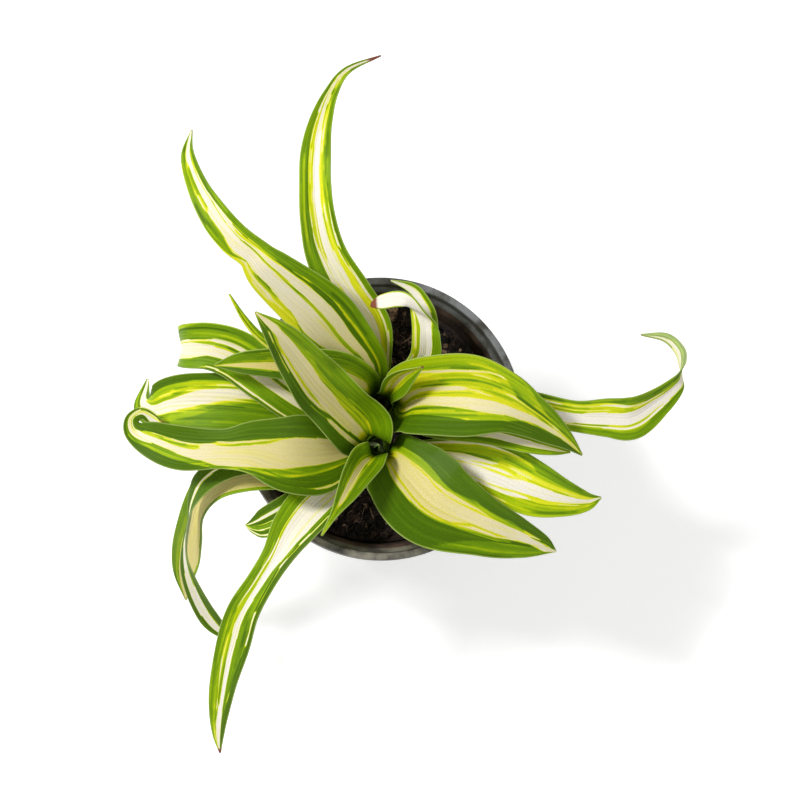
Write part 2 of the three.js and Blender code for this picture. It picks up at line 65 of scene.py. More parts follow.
sideways = -math.sin(LEAN) / math.sqrt(2)
toward_eye = Vector((sideways, sideways, math.cos(LEAN)))
view_right = (Vector((1, 0, 0)) - toward_eye * toward_eye.x).normalized()
view_up = toward_eye.cross(view_right)
offset = RIM_OFFSET_PIXELS / PIXELS_PER_MM * MM


def linked(name, data):
    """A new object for a mesh, a lamp or a camera, put in the scene."""
    made = bpy.data.objects.new(name, data)
    bpy.context.collection.objects.link(made)
    return made


camera_data = bpy.data.cameras.new("camera")
camera_data.sensor_width = 36
camera_data.lens = camera_data.sensor_width * EYE_DISTANCE / MM * PIXELS_PER_MM / FRAME_PIXELS
camera = linked("camera", camera_data)
place = Vector((0, 0, RIM_HEIGHT)) + toward_eye * EYE_DISTANCE + (view_right + view_up) * offset
turn = Matrix((view_right, view_up, toward_eye)).transposed()
camera.matrix_world = Matrix.Translation(place) @ turn.to_4x4()
bpy.context.scene.camera = camera
print("lens", round(camera_data.lens, 1), "mm")

# %% [markdown]
# ## Adding nodes
#
# Every material and every Geometry Nodes tree below is a set of nodes joined by links. This helper
# adds a node, and fills each of its sockets with a value or joins it to another node's output. The
# few kinds of node that come again and again each have a short name of their own.


# %% A tree of nodes
class Tree:
    """Adds nodes to a node tree and joins them."""

    def __init__(self, tree):
        self.tree = tree

    def add(self, kind, sockets=None, **settings):
        node = self.tree.nodes.new(kind)
        for name, value in settings.items():
            setattr(node, name, value)
        self.fit(node, sockets or {})
        return node

    def fit(self, node, sockets):
        for name, value in sockets.items():
            self.fill(node.inputs[name], value)

    def fill(self, socket, value):
        if isinstance(value, bpy.types.NodeSocket):
            self.tree.links.new(value, socket)
        else:
            socket.default_value = value

    def math(self, operation, a, b=0.0, c=0.0, clamp=False):
        sockets = {0: a, 1: b, 2: c}
        return self.add("ShaderNodeMath", sockets, operation=operation, use_clamp=clamp).outputs[0]

    def vector(self, operation, a, b=(0, 0, 0)):
        return self.add("ShaderNodeVectorMath", {0: a, 1: b}, operation=operation).outputs[0]

    def radius(self, place):
        """How far a place is from the upright axis."""
        flat = self.vector("MULTIPLY", place, (1, 1, 0))
        return self.add("ShaderNodeVectorMath", {0: flat}, operation="LENGTH").outputs["Value"]

    def step(self, value, low, high):
        """0 below low, 1 above high, and smooth between."""
        sockets = {"Value": value, "From Min": low, "From Max": high}
        return self.add("ShaderNodeMapRange", sockets, interpolation_type="SMOOTHSTEP").outputs[0]

    def mix(self, factor, a, b, blend="MIX"):
        sockets = {0: factor, 6: a, 7: b}
        return self.add("ShaderNodeMix", sockets, data_type="RGBA", blend_type=blend).outputs[2]

    def noise(self, vector, scale, detail=2.0, roughness=0.5):
        sockets = {"Vector": vector, "Scale": scale, "Detail": detail, "Roughness": roughness}
        return self.add("ShaderNodeTexNoise", sockets).outputs[0]

    def ramp(self, factor, stops):
        """A colour ramp through (position, colour) stops."""
        node = self.add("ShaderNodeValToRGB", {"Fac": factor})
        points = node.color_ramp.elements
        while len(points) < len(stops):
            points.new(0.5)
        for point, (position, _) in zip(points, stops):
            point.position = position
        for point, (_, colour) in zip(points, stops):
            point.color = colour
        return node.outputs["Color"]

    def bump(self, height, millimetres, strength=1.0):
        sockets = {"Height": height, "Distance": millimetres * MM, "Strength": strength}
        return self.add("ShaderNodeBump", sockets).outputs["Normal"]

    def place(self):
        """Where a point is on its piece, in the piece's own coordinates."""
        return self.add("ShaderNodeTexCoord").outputs["Object"]

    def attribute(self, name, output="Fac"):
        return self.add("ShaderNodeAttribute", attribute_name=name).outputs[output]


# %% Groups, materials and colours
def node_group(name, inputs, outputs, kind="Shader"):
    """An empty group of nodes: (the Tree, its input node's outputs, its output node)."""
    group = bpy.data.node_groups.new(name, kind + "NodeTree")
    for side, sockets in (("INPUT", inputs), ("OUTPUT", outputs)):
        for socket, value in sockets.items():
            group.interface.new_socket(socket, in_out=side, socket_type="NodeSocket" + value)
    tree = Tree(group)
    given = tree.add("NodeGroupInput").outputs
    return tree, given, tree.add("NodeGroupOutput")


def material(name):
    """A new node material: (the material, its Tree, its Principled BSDF)."""
    made = bpy.data.materials.new(name)
    made.use_nodes = True
    return made, Tree(made.node_tree), made.node_tree.nodes["Principled BSDF"]


def use_group(tree, name, sockets):
    """A group as one node of a material, with its inputs filled: the node's outputs."""
    return tree.add("ShaderNodeGroup", sockets, node_tree=bpy.data.node_groups[name]).outputs


def shade(*screen):
    """Red, green and blue as the screen shows them, 0 to 255, as linear light for a socket."""
    return (*(((v / 255 + 0.055) / 1.055) ** 2.4 if v > 10 else v / 255 / 12.92
              for v in screen), 1)


# %% [markdown]
# ## Light
#
# The light is that of a bright studio: a white surround that fills the shadows, and one softbox
# high in the west that puts a clear but soft-edged shadow beside each leaf. A wider and weaker one
# in the south-east reaches the leaves that turn away from it. The surround is dark to glossy rays,
# because its mirror image would lay a grey veil over the greens. The plain display transform keeps
# the strong yellow-greens, which a film-like one would dull.

# %% Surround and softboxes
SURROUND_STRENGTH = 0.33
SURROUND_MIRRORED = 0.02
KEY_WATTS = 7.4
KEY_SIZE = 0.16
KEY_DIRECTION = Vector((-0.82, 0.36, 1.05)).normalized()
FILL_WATTS = 2.6
FILL_SIZE = 0.7
FILL_DIRECTION = Vector((0.5, -0.5, 0.9)).normalized()
LAMP_DISTANCE = 0.95

scene = bpy.context.scene
scene.view_settings.view_transform = "Standard"
world = bpy.data.worlds.new("studio")
world.use_nodes = True
surround = Tree(world.node_tree)
glossy = surround.add("ShaderNodeLightPath").outputs["Is Glossy Ray"]
strength = surround.add("ShaderNodeMapRange", {
    "Value": glossy, "To Min": SURROUND_STRENGTH, "To Max": SURROUND_MIRRORED})
surround.fit(world.node_tree.nodes["Background"], {
    "Color": (1.0, 1.0, 1.0, 1), "Strength": strength.outputs[0]})
scene.world = world

for name, watts, size, direction in (("key", KEY_WATTS, KEY_SIZE, KEY_DIRECTION),
                                     ("fill", FILL_WATTS, FILL_SIZE, FILL_DIRECTION)):
    lamp_data = bpy.data.lights.new(name + "_softbox", "AREA")
    lamp_data.energy = watts
    lamp_data.size = size
    lamp = linked(name + "_softbox", lamp_data)
    lamp.location = Vector((0, 0, RIM_HEIGHT)) + direction * LAMP_DISTANCE
    lamp.rotation_euler = direction.to_track_quat("Z", "Y").to_euler()
    print(lamp.name, "gives", watts, "W from", round(lamp.location.z, 2), "m")

# %% [markdown]
# ## Floor
#
# A plain pale floor carries the pot. It glows a little, as a lit acrylic table does, which keeps
# the cast shadow light. It belongs to the studio and not to the plant.

# %% Floor
FLOOR_GLOW = 0.38
FLOOR_SIZE = 3.0


def shaped(name, points, faces):
    """A new object from points in metres and the faces between them."""
    mesh = bpy.data.meshes.new(name)
    mesh.from_pydata(points, [], faces)
    return linked(name, mesh)


floor_paint, tree, shader = material("floor_paint")
tree.fit(shader, {"Base Color": (0.93, 0.93, 0.93, 1), "Roughness": 0.9, "Specular IOR Level": 0.1,
                  "Emission Color": (1, 1, 1, 1), "Emission Strength": FLOOR_GLOW})
half = FLOOR_SIZE / 2
corners = [(-half, -half, 0), (half, -half, 0), (half, half, 0), (-half, half, 0)]
floor = shaped("floor", corners, [(0, 1, 2, 3)])
floor.data.materials.append(floor_paint)
print("floor side:", FLOOR_SIZE, "m")

# %% [markdown]
# ## Leaf tissue
#
# A variegated leaf is one thin blade whose stripes differ in how much green they hold. So the
# stripes aren't painted as colours: each point of a blade carries one number, its greenness, from 0
# for white tissue to 1 for the darkest margin, and one colour ramp turns it into a colour. Where
# white meets green the number passes through the lime between them, as it does on the real leaf.
# Long thin noise, stretched along the blade, breaks each stripe into the fine streaks of its veins.
#
# Five more numbers say where the white is cream and is painted darker and yellower deep in the
# shoot, for the shade and the light bounced between the leaves there, where the blade is dry, how
# near the margin a point is, whether it is on the underside, and how near it lies to the heart of
# the shoot, where it is painted near black for the shade there.

# %% Leaf tissue group
TISSUE = (  # greenness and the colour it has
    (0.00, shade(242, 236, 226)),
    (0.10, shade(240, 234, 176)),
    (0.24, shade(232, 232, 40)),
    (0.36, shade(206, 214, 12)),
    (0.52, shade(160, 190, 4)),
    (0.75, shade(112, 150, 3)),
    (1.00, shade(74, 107, 1)),
)
# Painted shade and bounced light: deep in the shoot the white is multiplied towards this dull
# yellow. This is partly its real cream and partly the shade and yellow-green light among the
# leaves.
CREAM_AND_SHADE_TINT = (0.72, 0.64, 0.33, 1)
DRY_BROWN = shade(132, 74, 52)
# Painted shade: the near black that stands for the shade deep in the heart of the shoot.
HEART_SHADE = shade(20, 30, 4)
UNDERSIDE_TINT = shade(226, 228, 196)
MARGIN_PALE = shade(190, 206, 110)
FINE_GRAIN = (3000, 40, 1)  # how dense the streaks are across and along the blade
BROAD_GRAIN = (1000, 22, 1)
CELL_GRAIN = 4200.0

leaf_inputs = {"Green": "Float", "Cream_and_shade": "Float", "Dry": "Float", "Margin": "Float",
               "Underside": "Float", "Heart_shade": "Float", "Grain": "Vector"}
leaf_outputs = {"Color": "Color", "Roughness": "Float", "Height": "Float"}
tree, given, result = node_group("leaf_tissue", leaf_inputs, leaf_outputs)

fine = tree.noise(tree.vector("MULTIPLY", given["Grain"], FINE_GRAIN), 1.0, 3.0, 0.6)
broad = tree.noise(tree.vector("MULTIPLY", given["Grain"], BROAD_GRAIN), 1.0, 2.0)
cells = tree.noise(given["Grain"], CELL_GRAIN, 2.0)
streaks = tree.math("ADD", tree.math("MULTIPLY", tree.math("SUBTRACT", fine, 0.5), 0.55),
                    tree.math("MULTIPLY", tree.math("SUBTRACT", broad, 0.5), 0.36))
hold = tree.math("MINIMUM", tree.math("ADD", given["Green"], 0.10), 0.55)
level = tree.math("MULTIPLY_ADD", streaks, hold, given["Green"], clamp=True)
colour = tree.ramp(level, TISSUE)
pale = tree.math("SUBTRACT", 1.0, level, clamp=True)
# Painted shade: the paler the tissue, the more the cream-and-shade share darkens and yellows it.
cream_shade_share = tree.math("MULTIPLY", given["Cream_and_shade"], pale)
colour = tree.mix(cream_shade_share, colour, CREAM_AND_SHADE_TINT, "MULTIPLY")
# Partly the tone of the cells and partly painted sheen: fine dots lighten and darken the colour to
# stand in for the speckled glints on the blade.
cell_tone_and_sheen = tree.add("ShaderNodeMapRange", {"Value": cells, "From Min": 0.32, "From Max": 0.68,
                                          "To Min": 0.86, "To Max": 1.12})
colour = tree.mix(1.0, colour, cell_tone_and_sheen.outputs[0], "MULTIPLY")
colour = tree.mix(tree.math("MULTIPLY", given["Underside"], 0.28), colour, UNDERSIDE_TINT)
colour = tree.mix(tree.math("MULTIPLY", given["Margin"], 0.4), colour, MARGIN_PALE)
dryness = tree.step(tree.math("MULTIPLY_ADD", fine, 0.5, given["Dry"]), 0.6, 0.9)
colour = tree.mix(dryness, colour, DRY_BROWN)
# Painted shade: the bases in the heart of the shoot turn near black.
colour = tree.mix(given["Heart_shade"], colour, HEART_SHADE)
sheen = tree.math("MULTIPLY_ADD", fine, 0.16, 0.46)
tree.fit(result, {"Color": colour, "Height": tree.math("MULTIPLY_ADD", cells, 0.7, fine),
                  "Roughness": tree.math("MULTIPLY_ADD", given["Underside"], 0.12, sheen)})
print("leaf tissue:", len(tree.tree.nodes), "nodes")

# %% Leaf material
leaf_blade, tree, shader = material("leaf_blade")
numbers = {name: tree.attribute(name.lower()) for name in leaf_inputs if name != "Grain"}
numbers["Grain"] = tree.attribute("grain", "Vector")
tissue = use_group(tree, "leaf_tissue", numbers)
tree.fit(shader, {
    "Base Color": tissue["Color"], "Roughness": tissue["Roughness"],
    "Normal": tree.bump(tissue["Height"], 0.07, 0.6), "Specular IOR Level": 0.16,
    "Subsurface Weight": 0.1, "Subsurface Radius": (1.0, 1.0, 0.35), "Subsurface Scale": 0.4 * MM})
print("leaf material:", len(leaf_blade.node_tree.nodes), "nodes")

# %% [markdown]
# ## How a leaf grows
#
# Each leaf starts against its rootstock and follows an arch through a few given rows. A row
# gives the midrib's place, the blade's width, its roll and the fold of its two halves. A smooth
# curve runs through every column of the rows, and the direction across the blade is carried along
# the arch without twist, so the blade turns only where its roll says so.

# %% The arch of a leaf
STEPS = 12  # stations from one row to the next
BASE_WIDTH = 4.6
TIP_WIDTH = 0.3
CLEARANCE = 0.3
BLADE_ROOM = 0.42  # room for the blade's thickness beside its rootstock
SOIL_TOP = 52.6
CROWN_RADII = (4.1, 2.2)  # where a rootstock leaves the soil, and under its rounded top
CROWN_ROUND = 1.2
crowns = {"front": (-1.2, -6.6, 63.6), "back": (0.3, 3.9, 62.8)}


def row_at(rows, place):
    """The row at a place along a list of rows, by a smooth curve through all of them."""
    last = len(rows) - 1
    before = min(max(math.floor(place), 0), last - 1)
    t = place - before
    b, c = rows[before], rows[before + 1]
    a = rows[before - 1] if before > 0 else 2 * b - c
    d = rows[before + 2] if before + 2 <= last else 2 * c - b
    bend = 2 * a - 5 * b + 4 * c - d + t * (3 * b - a - 3 * c + d)
    return 0.5 * (2 * b + t * (c - a + t * bend))


def unit(vector):
    return vector / np.linalg.norm(vector)


def crown_radius(top, height):
    share = (height - SOIL_TOP) / (top - CROWN_ROUND - SOIL_TOP)
    return CROWN_RADII[0] + (CROWN_RADII[1] - CROWN_RADII[0]) * share


# %% Stations along a leaf
def walk(rows, midrib):
    """The row at every station and the direction there, given the midrib's place in a row."""
    for step in range((len(rows) - 1) * STEPS + 1):
        at = step / STEPS
        ahead = midrib(row_at(rows, at + 0.5 / STEPS))
        yield row_at(rows, at), unit(ahead - midrib(row_at(rows, at - 0.5 / STEPS)))


def arched(crown, azimuth, height, rows, reach=None, base_width=BASE_WIDTH, base_fold=18):
    """Stations (point, right, face, width, fold) of a leaf that is drawn by its midrib."""
    x, y, top = crowns[crown]
    angle = math.radians(azimuth)
    east, north = math.cos(angle), math.sin(angle)
    beside = reach if reach is not None else crown_radius(top, height) + CLEARANCE + BLADE_ROOM
    foot = [x + beside * east, y + beside * north, height, base_width, 0, base_fold]
    side = np.array([north, -east, 0.0])
    stations = []
    for row, along in walk(np.array([foot, *rows], float), lambda row: row[:3]):
        side = unit(side - along * side.dot(along))
        roll = math.radians(row[4])
        right = side * math.cos(roll) + np.cross(side, along) * math.sin(roll)
        stations.append((row[:3], right, np.cross(right, along), row[3], math.radians(row[5])))
    return stations


def between_margins(margins):
    """Stations of a leaf that folds over on a slant, and so is drawn by its two margins."""
    stations = []
    for row, along in walk(np.array(margins, float), lambda row: (row[:3] + row[3:6]) / 2):
        across = row[3:6] - row[:3]
        right = unit(across)
        middle = (row[:3] + row[3:6]) / 2
        face = unit(np.cross(right, along))
        stations.append((middle, right, face, np.linalg.norm(across), math.radians(row[6])))
    return stations


# %% [markdown]
# ## The stripes
#
# A leaf's stripes are named by one letter each, from its left margin to its right one, as seen from
# the rootstock towards the tip. Between the letters run the edges. Each is given across the blade
# (-1 is the left margin, 1 the right) at a few places along it, so that a stripe can drift, swell
# and pinch out, and keeps its value before the first place and after the last. Every edge is a soft
# step in greenness, so a stripe without width adds nothing.
#
# The tissue of such a leaf grows in files of cells. So an edge doesn't wave: it runs straight for
# some millimetres and then jumps a few files sideways. Beside the stripes run many fine streaks,
# each a few files wide, that start and end as bluntly. Both are drawn from each leaf's own seed.

# %% From stripes to greenness
GREENNESS = {"W": 0.0, "Y": 0.26, "L": 0.5, "G": 0.75, "D": 1.0}
EDGE_SOFTNESS = 0.22  # mm over which one stripe turns into the next
EDGE_JUMP = 0.09  # mm that an edge jumps sideways, as a spread
EDGE_RUN = (3, 14)  # mm that an edge runs straight between two jumps
MOST_JUMPS = 60
STREAKS_PER_AREA = 0.28  # streaks on a square millimetre of blade
STREAK_CHANGE = 0.17  # how much greener or paler a streak is, as a spread
STREAK_LENGTH = (4, 26)  # mm
STREAK_HALF_WIDTH = (0.12, 0.42)  # mm
STREAK_END = 0.7  # mm over which a streak starts and ends
STREAK_SHOWS = ((0, 0.2, 0.5, 0.75, 1), (0.2, 0.75, 0.8, 0.4, 0.22))  # greenness, share of it seen
BASE_SHADE_DEPTH = 8.0  # mm at the base, inside the shoot, where the tissue is painted darker green for the shade there
BASE_SHADE_GREENNESS, BASE_SHADE_SHARE = 1.05, 0.8  # what it turns to, and how far


def greenness(stripes, edges, u, v, distance, half, rng):
    """How green each point is: one row for each station, one column for each place across."""
    places = sorted(edges)
    table = np.array([edges[place] for place in places], float)
    level = np.full((len(v), len(u)), GREENNESS[stripes[0]])
    last_edge = np.full(len(v), -2.0)
    half = np.maximum(half, 0.4)
    for k in range(len(stripes) - 1):
        jumps_at = np.cumsum(rng.uniform(*EDGE_RUN, MOST_JUMPS))
        jumps = rng.normal(0, EDGE_JUMP, MOST_JUMPS + 1)[np.searchsorted(jumps_at, distance)]
        edge = np.interp(v, places, table[:, k]) + jumps / half
        edge = last_edge = np.maximum(edge, last_edge)
        soft = EDGE_SOFTNESS / half
        rise = np.clip((u[None, :] - edge[:, None]) / soft[:, None] + 0.5, 0, 1)
        change = GREENNESS[stripes[k + 1]] - GREENNESS[stripes[k]]
        level = level + change * rise * rise * (3 - 2 * rise)
    hold = np.interp(level, *STREAK_SHOWS)
    for _ in range(int(STREAKS_PER_AREA * distance[-1] * 2 * half.mean())):
        middle, start = rng.uniform(-0.97, 0.97), rng.uniform(-8, distance[-1])
        length, files = rng.uniform(*STREAK_LENGTH), rng.uniform(*STREAK_HALF_WIDTH)
        change = rng.normal(0, STREAK_CHANGE)
        across = np.clip(1.4 - np.abs(u[None, :] - middle) * half[:, None] / files, 0, 1)
        inside = np.minimum(distance - start, start + length - distance)
        along = np.clip(inside / STREAK_END + 0.5, 0, 1)
        level = level + change * across * along[:, None] * hold
    # Painted shade: inside the shoot the base is pushed towards the darkest green.
    base_shade = np.clip(1 - distance / BASE_SHADE_DEPTH, 0, 1)[:, None]
    return np.clip(level + base_shade * (BASE_SHADE_GREENNESS - level) * BASE_SHADE_SHARE, 0, 1)


# %% [markdown]
# ## From stations to a blade
#
# The section of a blade is a shallow channel with a rounded keel. The blade is thickest at its
# midrib and thin at its margins, and both faces carry the low ribs of the veins, so that the light
# catches them. Both faces are one closed skin, and the numbers for the material go with its points.

# %% The blade's skin
COLUMNS = ((9, 97), (5, 61), (0, 37))  # wider than this many mm, and the points across it then
MIDRIB_THICKNESS = 0.5
MARGIN_THICKNESS = 0.26
TAPER, THINNEST = 8, 0.45  # how fast a blade thins at its tip, and to what share
KEEL = 0.3  # how round the fold is, as a share of the half width
VEIN_RELIEF = 0.04
VEINS = 13
GROOVE_DEPTH, GROOVE_WIDTH = 0.09, 0.45  # of the groove along the midrib


def skin(stations, wave):
    """A blade's rings of points in mm, its faces, and where the points lie across and along it."""
    point, right, face, width, fold = (np.array(column) for column in zip(*stations))
    columns = next(count for widest, count in COLUMNS if width.max() > widest)
    u = np.linspace(-1, 1, columns)
    travel = np.linalg.norm(np.diff(point, axis=0), axis=1)
    distance = np.concatenate([[0], np.cumsum(travel)])
    v = distance / distance[-1]
    half = (width / 2)[:, None]
    fold = fold[:, None]
    ramp = np.sin(math.pi * v)[:, None]
    soft = np.hypot(u, KEEL)
    rise = math.hypot(1, KEEL) - KEEL
    ripple = np.sin(2 * math.pi * distance[:, None] / wave[1] + np.where(u < 0, 2, 0))
    lift = half * np.sin(fold) * (soft - KEEL) / rise + wave[0] * ramp * ripple * np.abs(u) ** 3
    slope = np.sin(fold) * u / soft / rise
    centre = (point[:, None] + right[:, None] * (u * half * np.cos(fold))[..., None]
              + face[:, None] * lift[..., None])
    normal = face[:, None] * np.cos(fold)[..., None] - right[:, None] * slope[..., None]
    normal /= np.linalg.norm(normal, axis=2, keepdims=True)

    taper = np.clip((1 - v) * TAPER, THINNEST, 1)[:, None]
    thicker = (MIDRIB_THICKNESS - MARGIN_THICKNESS) * (1 - np.abs(u) ** 2)
    thick = (MARGIN_THICKNESS + thicker) * taper
    veins = VEIN_RELIEF * ramp * np.cos(2 * math.pi * VEINS * (u + 1) / 2) * (1 - u ** 6)
    groove = GROOVE_DEPTH * ramp * np.exp(-((u * half / GROOVE_WIDTH) ** 2))
    top = centre + normal * (thick / 2 + veins - groove)[..., None]
    bottom = centre - normal * (thick / 2 + veins + groove)[..., None]
    outward = right * (MARGIN_THICKNESS / 2)
    rim_right = (top[:, -1] + bottom[:, -1]) / 2 + outward
    rim_left = (top[:, 0] + bottom[:, 0]) / 2 - outward
    ring = np.concatenate([top, rim_right[:, None], bottom[:, ::-1], rim_left[:, None]], axis=1)

    n, m = ring.shape[:2]
    index = np.arange(n * m).reshape(n, m)
    following = np.roll(index, -1, axis=1)
    sides = np.stack([index[:-1], following[:-1], following[1:], index[1:]], axis=-1).reshape(-1, 4)
    upper = index[:, :columns]
    lower = index[:, columns + 1:-1][:, ::-1]
    root = np.stack([upper[0, 1:], upper[0, :-1], lower[0, :-1], lower[0, 1:]], axis=-1)
    tip = np.stack([upper[-1, :-1], upper[-1, 1:], lower[-1, 1:], lower[-1, :-1]], axis=-1)
    rims = [(lower[0, -1], index[0, columns], upper[0, -1]),
            (upper[0, 0], index[0, -1], lower[0, 0]),
            (upper[-1, -1], index[-1, columns], lower[-1, -1]),
            (lower[-1, 0], index[-1, -1], upper[-1, 0])]
    faces = [*sides.tolist(), *root.tolist(), *tip.tolist(), *np.array(rims).tolist()]
    return ring, faces, u, distance, half


# %% The painted blade
HEART_SHADE_DEPTH = 7.0  # mm at the base that lie in the heart of the shoot and are painted dark for the shade there, and how dark they get
HEART_SHADE_SHARE = 0.85
CREAM = 0.10  # how much greener white tissue is made where it is painted darker and yellower
GRAIN_HALF_WIDTH = 8.0  # a blade's half width as the grain sees it, in mm
GRAIN_SHIFT = 7.3  # how far one leaf's grain lies from the next one's
PALE_RIM = 0.12  # mm at each margin that are paler


def round_ring(above, below=None, rims=None):
    """Values for every point of the ring, from those across its upper and its lower face."""
    right_rim, left_rim = (above[:, -1], above[:, 0]) if rims is None else (rims, rims)
    below = above if below is None else below
    parts = [above, right_rim[:, None], below[:, ::-1], left_rim[:, None]]
    return np.concatenate(parts, axis=1)


def blade(name, stations, stripes, edges, wave=(0.0, 20.0), cream_and_shade=(0.6, 0.1, 0.0), dry=(1.0, 0.0),
          rim=1.0, seed=0):
    """A leaf as one closed mesh, in metres, with its numbers for the leaf material.

    The wave of its margins has a height and a length in mm. The cream-and-shade values say,
    at its base, its middle and its tip, how far its white is cream and is painted darker and
    yellower for the shade and the light bounced between the leaves, and dry is where it begins
    to dry and how dry its tip is.
    """
    ring, faces, u, distance, half = skin(stations, wave)
    mesh = bpy.data.meshes.new(name)
    mesh.from_pydata((ring.reshape(-1, 3) * MM).tolist(), [], faces)

    (n, m), columns = ring.shape[:2], len(u)
    v = distance / distance[-1]
    rng = np.random.default_rng(seed)
    # Painted shade and bounced light: how far the white is darkened and yellowed at the base, the
    # middle and the tip. This is partly its real cream.
    cream_shade_share = np.interp(v, (0, 0.45, 1), cream_and_shade)[:, None] * np.ones((1, columns))
    level = greenness(stripes, edges, u, v, distance, half[:, 0], rng)
    level = level + CREAM * cream_shade_share * (1 - level)
    across = np.broadcast_to(u, level.shape)
    margin = rim * np.clip((np.abs(across) - 1) * half / PALE_RIM + 1, 0, 1)
    halves = np.full(n, 0.5)
    # Painted shade: the first millimetres of a blade, among the other leaf bases, are darkened.
    heart_shade = HEART_SHADE_SHARE * np.clip(1 - distance / HEART_SHADE_DEPTH, 0, 1)[:, None] * np.ones((1, m))
    dried = np.clip((v - dry[0]) / max(1 - dry[0], 0.01), 0, 1)[:, None] * dry[1]
    dried = dried * np.ones((1, columns))
    numbers = {"green": round_ring(level), "cream_and_shade": round_ring(cream_shade_share), "dry": round_ring(dried),
               "margin": round_ring(margin), "heart_shade": heart_shade,
               "underside": round_ring(0 * level, 0 * level + 1, halves)}
    for label, values in numbers.items():
        mesh.attributes.new(label, "FLOAT", "POINT").data.foreach_set("value", values.ravel())
    place = round_ring(across) * GRAIN_HALF_WIDTH * MM
    grain = np.stack([place, np.broadcast_to(distance[:, None] * MM, place.shape),
                      np.full(place.shape, GRAIN_SHIFT * seed)], axis=-1)
    mesh.attributes.new("grain", "FLOAT_VECTOR", "POINT").data.foreach_set("vector", grain.ravel())

    # The upper face takes the left half of the map, and the underside its right half.
    map_u = round_ring(across * 0.24 + 0.25, across * 0.24 + 0.75, halves).ravel()
    map_v = np.repeat(v, m)
    corner = np.empty(len(mesh.loops), np.int32)
    mesh.loops.foreach_get("vertex_index", corner)
    layout = mesh.uv_layers.new(name="blade")
    layout.data.foreach_set("uv", np.stack([map_u[corner], map_v[corner]], axis=-1).ravel())
    mesh.shade_smooth()
    mesh.materials.append(leaf_blade)
    return linked(name + "_blade", mesh)


# %% [markdown]
# ## The leaves of the back shoot
#
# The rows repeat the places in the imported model, in millimetres: [x, y, z, width, roll, fold].

